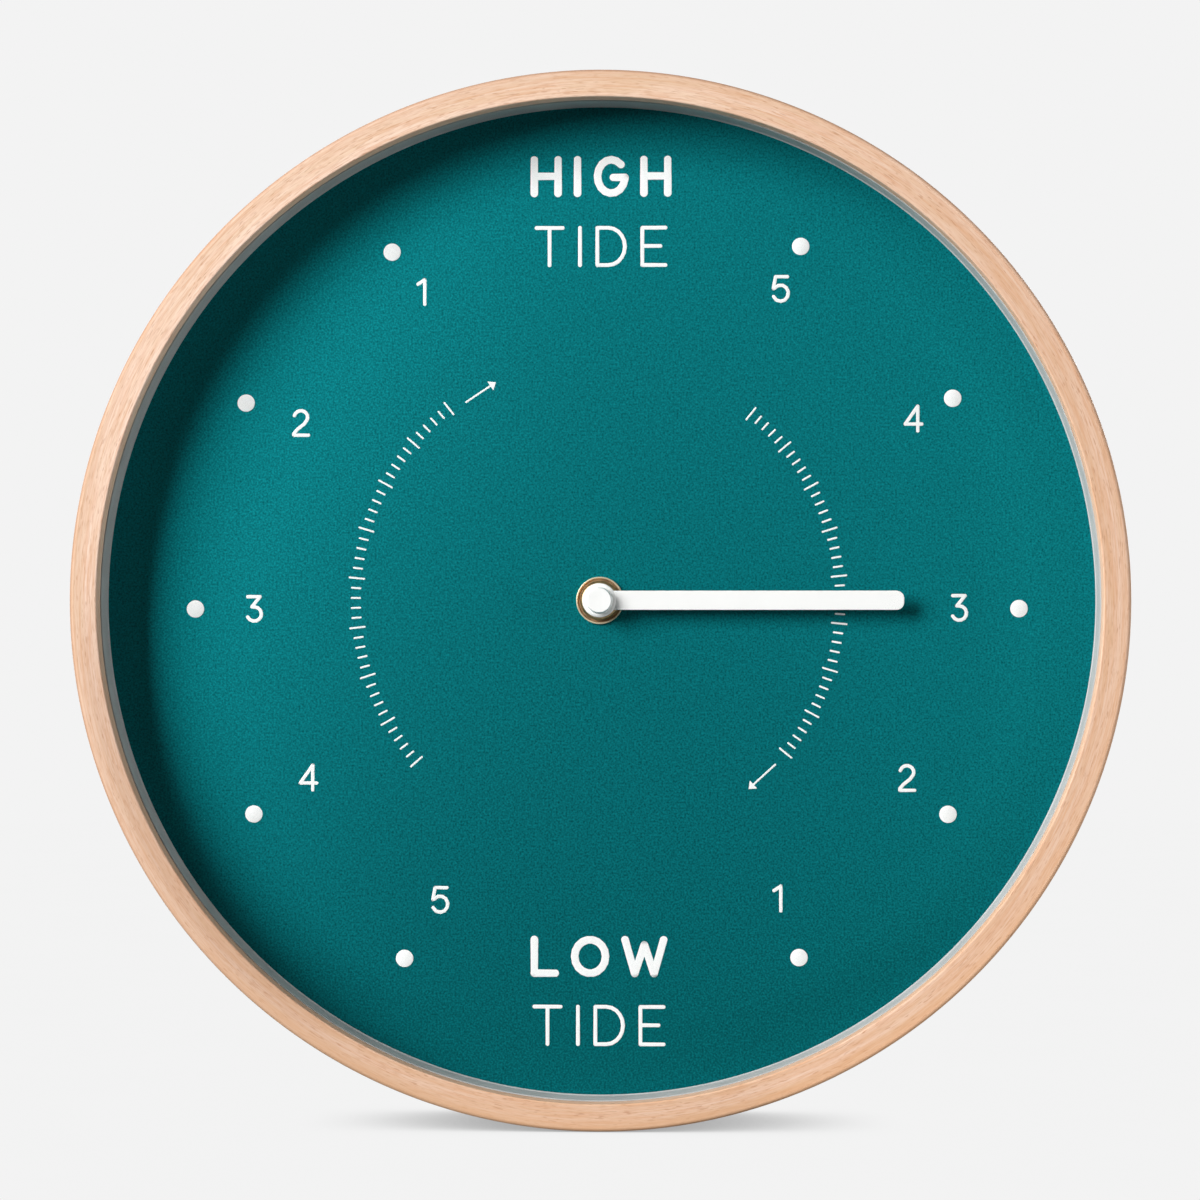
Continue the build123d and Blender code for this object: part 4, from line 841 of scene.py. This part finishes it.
WORD_HEIGHT = 11.85
HEAVY_PEN = 2.2
LIGHT_PEN = 1.12
HEAVY_GAP = 5.6
LIGHT_GAP = 5.0
words = write("HIGH", on_dial(601.0, 176.5), WORD_HEIGHT, HEAVY_PEN, HEAVY_GAP)
words += write("TIDE", on_dial(601.0, 246.5), WORD_HEIGHT, LIGHT_PEN, LIGHT_GAP)
words += write("LOW", on_dial(599.0, 956.5), WORD_HEIGHT, HEAVY_PEN, HEAVY_GAP)
words += write("TIDE", on_dial(599.0, 1025.5), WORD_HEIGHT, LIGHT_PEN, LIGHT_GAP)
place(join(words, "dial_words", 60.0), "clock", "dial_print", WHITE_INK)

# %% [markdown]
# ## Dots
# A dot stands beside each number. One is turned and then copied, since ten turned dots would take
# longer and look the same.

# %% Print the dots
DOT_PLACES = [
    (392.2, 252.2), (246.2, 403.1), (195.5, 609.0), (253.9, 814.0), (404.6, 958.4),
    (800.7, 246.4), (952.7, 398.3), (1019.0, 608.6), (948.0, 814.3), (799.0, 957.6),
]


def copied(piece, move_mm):
    """A copy of a piece with its own mesh, moved in its mesh by (X, Y, Z) in mm."""
    only(piece)
    bpy.ops.object.duplicate(linked=False)
    other = bpy.context.object
    other.location = Vector(move_mm) * MM
    bpy.ops.object.transform_apply()
    return other


DOT_RADIUS = 2.5
DOT_FRONT = -27.1
spots = [on_dial(*spot) for spot in DOT_PLACES]
first_dot = turned(
    "dot",
    [(0.0, DOT_FRONT), (DOT_RADIUS, DOT_FRONT), (DOT_RADIUS, DIAL_FACE), (0.0, DIAL_FACE)],
    rounds=[(1, 0.06, 2)],
    steps=48,
    at=spots[0],
)
dots = [first_dot] + [copied(first_dot, (x - spots[0][0], 0.0, z - spots[0][1])) for x, z in spots[1:]]
place(join(dots, "dial_dots"), "clock", "dial_print", WHITE_INK)

# %% [markdown]
# ## Arcs and arrows
# Two arcs of fine ticks show the way of the hand between the tides, each with an arrow at its end.
# They could be one dashed curve, but single strokes have round ends and can differ in length.

# %% Print the arcs of ticks and their arrows
TICK_PEN = 0.55
SHORT_TICK = 1.2
LONG_TICK = 2.1
TICK_COUNT = 40
HEAD_LENGTH = 1.93
HEAD_WIDTH = 3.1


def ticks(radius, first, last, count):
    """Short radial strokes along an arc about the dial's centre, every fifth one longer."""
    pieces = []
    for number in range(count + 1):
        angle = radians(first + (last - first) * number / count)
        half = LONG_TICK if number % 5 == 0 else SHORT_TICK
        ends = [(r * cos(angle), r * sin(angle)) for r in (radius - half, radius + half)]
        pieces += stroke(ends, TICK_PEN)
    return pieces


def arrow(tail, tip):
    """A thin shaft and a filled head between two places on the dial in mm."""
    tail, tip = Vector(tail), Vector(tip)
    along = (tip - tail).normalized()
    beside = Vector((-along.y, along.x))
    neck = tip - along * HEAD_LENGTH
    corners = [tip, neck + beside * HEAD_WIDTH / 2, neck - beside * HEAD_WIDTH / 2]
    head = cut_out("arrow_head", corners, DIAL_FACE - INK, DIAL_FACE + INK, rounds=[(1, 0.2, 2), (2, 0.2, 2)])
    return stroke([tail, neck], TICK_PEN) + [head]


RISING_ARC = (70.3, 221.3, 128.2)
FALLING_ARC = (69.0, 51.0, -39.4)
rising = ticks(*RISING_ARC, TICK_COUNT) + arrow(on_dial(466.3, 402.1), on_dial(495.9, 382.2))
place(join(rising, "rising_arc", 60.0), "clock", "dial_print", WHITE_INK)
falling = ticks(*FALLING_ARC, TICK_COUNT) + arrow(on_dial(775.2, 764.7), on_dial(748.6, 789.0))
place(join(falling, "falling_arc", 60.0), "clock", "dial_print", WHITE_INK)

# %% [markdown]
# ## The hand
# The hand is a flat stamped blade with a round boss, lacquered white. The blade is cut out of sheet
# with rounded tip corners and a soft front edge. The boss is turned and slopes down to the blade.
# The two are joined, so that they move as one.

# %% Model the blade and its boss
BLADE_FRONT = -32.4
BLADE_BACK = -31.8
REACH = 87.0
HALF_WIDTH = 2.75
blade = cut_out(
    "blade",
    [(0.0, -HALF_WIDTH), (REACH, -HALF_WIDTH), (REACH, HALF_WIDTH), (0.0, HALF_WIDTH)],
    BLADE_FRONT,
    BLADE_BACK,
    rounds=[(1, 2.2, 10), (2, 2.2, 10)],
    edge=0.16,
)
boss = turned(
    "boss",
    [(2.52, -32.8), (4.2, -32.8), (4.9, -32.35), (4.9, -31.8), (3.4, -31.8), (3.4, -30.4), (2.52, -30.4)],
    rounds=[(1, 0.35, 3), (2, 0.25, 3)],
    steps=96,
)
place(join([blade, boss], "hand_blade", 50.0), "hand", "white_aluminium", WHITE_LACQUER, "tide_hand")

# %% [markdown]
# ## The cap
# The cap is a turned button with a soft rim and a very shallow dish, pressed into the hand. A
# flattened sphere would be quicker, but it has no flat top.

# %% Model the cap
cap = turned(
    "cap",
    [(0.0, -35.32), (2.5, -35.4), (3.55, -35.4), (3.8, -32.8), (1.6, -32.8), (1.6, -31.2), (0.0, -31.2)],
    rounds=[(1, 0.8, 3), (2, 1.3, 8)],
    steps=96,
)
place(cap, "hand", "white_plastic", WHITE_LACQUER, "hand_cap")

# %% [markdown]
# ## The washer and the nut
# A dished brass washer lies on the dial round the bushing and a flat round nut holds it. The washer's
# rolled rim is painted pale and less metallic than the nut, a painted highlight, and the nut's front
# slopes outwards and mirrors the lamp on its left side.

# %% Model the washer and the nut
washer = turned(
    "washer",
    [(BUSHING_HOLE, DIAL_FACE), (6.8, DIAL_FACE), (6.8, -27.9), (6.4, -27.9),
     (6.1, -27.45), (BUSHING_HOLE, -27.45)],
    rounds=[(2, 0.2, 3), (3, 0.15, 2)],
    steps=96,
)
place(washer, "clock", "brass", WASHER_BRASS, "dial_washer")
nut = turned(
    "nut",
    [(4.0, -27.5), (5.6, -27.5), (5.7, -28.3), (5.3, -29.2), (4.7, -29.5), (4.0, -29.5)],
    rounds=[(2, 0.4, 3), (3, 0.4, 3)],
    steps=96,
)
place(nut, "clock", "brass", NUT_BRASS, "hub_nut")

# %% [markdown]
# ## Softened copies of moulded and cut pieces
# Real mouldings and sawn blocks have no razor edges. Where the engineering model shows a plain
# sharp edge on the outside, a copy of its mesh is merged, its sharp edges are picked, and a small
# bevel catches the light. The copy stands in the node's place.


# %% Soften the case, the cover, the block and the plate
SHARP_FROM = 40.0


def softened(node_name, name, radius, slot_name, finish, test=lambda v: True):
    """A copy of a CAD node whose sharp edges that pass a test are rounded, in the node's place."""
    only(frame["nodes"][node_name])
    bpy.ops.object.duplicate(linked=False)
    piece = bpy.context.object
    bpy.ops.object.parent_clear(type="CLEAR_KEEP_TRANSFORM")
    bpy.ops.object.mode_set(mode="EDIT")
    bpy.ops.mesh.select_all(action="SELECT")
    bpy.ops.mesh.remove_doubles(threshold=1e-6)
    bpy.ops.mesh.dissolve_limited(angle_limit=radians(1.0))
    bpy.ops.mesh.select_mode(type="EDGE")
    bpy.ops.mesh.select_all(action="DESELECT")
    bpy.ops.mesh.edges_select_sharp(sharpness=radians(SHARP_FROM))
    count = pick("EDGE", test, among="selected")
    bpy.ops.mesh.bevel(offset=radius * MM, segments=3, affect="EDGES", clamp_overlap=True)
    print("softened", count, "edges of", node_name)
    return place(done(piece, name), "clock", slot_name, finish, node_name)


softened("hanger_block", "block", 0.6, "beech", BLOCK_BEECH)
softened("hanger_plate", "plate", 0.25, "zinc_steel", ZINC_STEEL, test=lambda v: v.y > -0.6)
softened("movement_rear_cover", "cover", 0.3, "black_plastic", BLACK_PLASTIC, test=lambda v: v.y > -5.6)

# %% [markdown]
# ## Relief on the rear cover
# A movement's cover carries moulded signs: a ring and two arrows round the knob that show it
# turns, a plus and a minus beside the battery bay, and a plain frame. They are flat shapes a
# fraction of a millimetre high, drawn with the same strokes as the ink.

# %% Raise the signs on the cover
COVER_FACE = -5.5
KNOB_PLACE = (14.93, 4.0)
RELIEF = 6.0
ARROW_RADIUS = 8.2
ARROW_PEN = 0.5
BARB_LENGTH = 1.5


def raised(pieces):
    """Moves strokes from the dial to the cover, where they stand proud towards the back."""
    for piece in pieces:
        only(piece)
        piece.scale = (1.0, RELIEF, 1.0)
        piece.location.y = (COVER_FACE - RELIEF * DIAL_FACE) * MM
        bpy.ops.object.transform_apply()
    return pieces


def curved_arrow(middle, radius, first, last):
    """An arc of ink with an open arrow head at its last angle."""
    points = [(middle[0] + x, middle[1] + z) for x, z in bow(0.0, 0.0, radius, radius, first, last, 8)]
    tip = Vector(points[-1])
    back = (Vector(points[-2]) - tip).normalized() * BARB_LENGTH
    barbs = [tip + Vector((back.x * cos(a) - back.y * sin(a), back.x * sin(a) + back.y * cos(a)))
             for a in (radians(35), radians(-35))]
    return stroke(points, ARROW_PEN) + stroke([barbs[0], tip, barbs[1]], ARROW_PEN)


signs = curved_arrow(KNOB_PLACE, ARROW_RADIUS, 20, 80) + curved_arrow(KNOB_PLACE, ARROW_RADIUS, 160, 100)
signs += stroke([(22.5, -7.2), (25.5, -7.2)], 0.6) + stroke([(24.0, -8.7), (24.0, -5.7)], 0.6)
signs += stroke([(-25.5, -7.2), (-22.5, -7.2)], 0.6)
signs += stroke([(-24.5, 25.0), (-3.0, 25.0), (-3.0, 12.0), (-24.5, 12.0), (-24.5, 25.0)], 0.4)
print("drew", len(signs), "strokes")
place(join(raised(signs), "cover_signs", 60.0), "clock", "black_plastic", BLACK_PLASTIC)
ring = turned(
    "knob_ring",
    [(5.7, -5.55), (6.5, -5.55), (6.4, -5.25), (5.8, -5.25)],
    rounds=[(2, 0.08, 2), (3, 0.08, 2)],
    steps=72,
    at=KNOB_PLACE,
)
place(ring, "clock", "black_plastic", BLACK_PLASTIC)

# %% [markdown]
# ## The battery
# A cell of this size is a steel can in a printed plastic sleeve that is shrunk over both ends. The
# sleeve is turned with its rolled ends, and its colours change along its length: a dark body, and
# a thin pale band and a pale collar at the positive end.

# %% Model the cell and its sleeve
CELL_AXIS = (-11.95, -19.05)
CELL_RADIUS = 7.25
low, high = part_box("battery_cell")
print("cell box in mm", [round(v / MM, 2) for v in low], [round(v / MM, 2) for v in high])


def turned_along_x(name, section, rounds=()):
    """A piece turned about the cell's axis. section lists (X, radius) corners in mm."""
    piece = drawn([(x, CELL_AXIS[0] + radius, CELL_AXIS[1]) for x, radius in section], rounds)
    return spun(piece, name, (0.0, CELL_AXIS[0] * MM, CELL_AXIS[1] * MM), (1.0, 0.0, 0.0), steps=72)


cell_can = turned_along_x(
    "cell_can",
    [(-25.25, 0.0), (-25.25, 5.0), (-24.95, 5.3), (-24.95, 6.9), (24.1, 6.9), (24.1, 3.1), (24.4, 2.75),
     (25.25, 2.75), (25.25, 0.0)],
    rounds=[(7, 0.35, 3)],
)
place(cell_can, "battery", "cell_jacket", BRIGHT_STEEL, "battery_cell")
sleeve = Finish("cell_sleeve", roughness=0.3, Coat_Weight=0.4, Coat_Roughness=0.15)
along_cell = sleeve.add("SeparateXYZ", 0, Vector=sleeve.mm)
scuffs = sleeve.noise(sleeve.stretch((0.5, 4.0, 4.0)), detail=4.0, roughness=0.7)
collar = sleeve.math("GREATER_THAN", along_cell, 13.5)
band = sleeve.math("COMPARE", along_cell, 12.2, 0.7)
tone = sleeve.blend(collar, srgb(44, 66, 84), srgb(206, 208, 206))
tone = sleeve.blend(band, tone, srgb(206, 208, 206))
tone = sleeve.blend(sleeve.span(scuffs, 0.62, 0.75, 0.0, 0.25), tone, srgb(150, 150, 148))
sleeve.set(Base_Color=tone, Roughness=sleeve.span(scuffs, 0.3, 0.8, 0.25, 0.4))
cell_sleeve = turned_along_x(
    "cell_sleeve",
    [(-25.05, 5.9), (-25.05, CELL_RADIUS), (24.3, CELL_RADIUS), (24.3, 5.6), (24.15, 5.6), (24.0, 6.95),
     (-24.8, 6.95), (-24.9, 5.9)],
    rounds=[(1, 0.5, 4), (2, 0.5, 4)],
)
place(cell_sleeve, "battery", "cell_jacket", sleeve.material)

# %% [markdown]
# ## Finishes for the pieces that keep their shape
# The engineering model's own shapes are right for everything else behind the dial. Each of those
# pieces gets the finish of its material, and keeps its mesh as it is.

# %% Dress the remaining nodes
DRESS = [
    (HARDBOARD, ["backing_board"]),
    (ZINC_STEEL, ["retaining_brackets"]),
    (YELLOW_ZINC, ["bracket_screws", "hanger_screws"]),
    (TURNED_BRASS, ["threaded_bushing", "centre_arbor"]),
    (BLACK_RUBBER, ["rubber_washer"]),
    (BLACK_PLASTIC, ["movement_front_case"]),
    (SMOOTH_BLACK, ["setting_pinion", "setting_knob"]),
    (CONTACT_BRASS, ["positive_contact", "negative_contact", "clutch_spring"]),
    (NATURAL_PLASTIC, ["train_plate", "hour_wheel", "minute_wheel", "centre_wheel", "third_wheel"]),
    (NATURAL_PLASTIC, ["second_wheel", "fifth_wheel", "rotor_pinion", "coil_bobbin"]),
    (FERRITE, ["rotor_magnet"]),
    (SOFT_IRON, ["stator_lower_plate", "stator_upper_plate", "coil_core"]),
    (COPPER_WIRE, ["coil_winding"]),
    (LAMINATE, ["circuit_board"]),
    (BRIGHT_STEEL, ["quartz_crystal"]),
]
for finish, node_names in DRESS:
    for node_name in node_names:
        node = frame["nodes"][node_name]
        node.data.materials.clear()
        node.data.materials.append(finish)
print("dressed", sum(len(names) for _, names in DRESS), "nodes of", len(frame["nodes"]))

# %% [markdown]
# ## Floor
# The clock stands on a plain pale floor that has the background's tone, so that no edge shows. It
# darkens where the hoop is close enough to hide the room from it, which is the small soft shadow
# under a round thing that stands in even light. A lamp overhead would cast it too, but would also
# light the dial, so an ambient occlusion node draws it. Near the clock the floor also sends a
# little light back up, and further away none, so that it doesn't fill the shadow on the dial.

# %% Lay the floor
FLOOR_SIZE = 3.0
FLOOR_HEIGHT = -0.1501
SHADOW_REACH = 0.026
SHADOW_CURVE = 3.2
SHADOW_DEPTH = 0.58
CLOCK_MIDDLE = -22.0
BOUNCE = 0.28
BOUNCE_NEAR = 30.0
BOUNCE_FAR = 110.0
bpy.ops.object.select_all(action="DESELECT")
bpy.ops.mesh.primitive_circle_add(
    vertices=96, radius=FLOOR_SIZE / 2, fill_type="NGON", location=(0, 0, FLOOR_HEIGHT)
)
floor = bpy.context.object
floor.name = "floor"
matt = Finish("floor_white", roughness=0.9, Specular_IOR_Level=0.0)
foot = matt.vector("SUBTRACT", matt.mm, (0.0, CLOCK_MIDDLE, 0.0))
far = matt.vector("LENGTH", matt.vector("MULTIPLY", foot, (1.0, 1.0, 0.0)), output=1)
grit = matt.noise(matt.stretch((60.0,) * 3), detail=2.0)
reach = matt.span(far, BOUNCE_NEAR, BOUNCE_FAR, BOUNCE, 0.0, smooth=True)
matt.set(Base_Color=matt.add("CombineColor", Red=reach, Green=reach, Blue=reach))
hidden = matt.math("SUBTRACT", 1.0, matt.add("AmbientOcclusion", 1, {"samples": 16}, Distance=SHADOW_REACH))
shadow = matt.math("MULTIPLY", matt.math("POWER", hidden, SHADOW_CURVE), SHADOW_DEPTH)
tone = matt.math("SUBTRACT", matt.span(grit, 0.2, 0.8, 0.995, 1.0), shadow)
tone = matt.math("MULTIPLY", tone, BACKGROUND)
glow = matt.add("Emission", Strength=tone)
surface = matt.add("MixShader", _0=matt.add("LightPath"), _1=matt.shader.outputs[0], _2=glow)
matt.tree.links.new(surface, matt.output.inputs["Surface"])
floor.data.materials.append(matt.material)
floor.visible_glossy = False
print("floor at", floor.location.z)
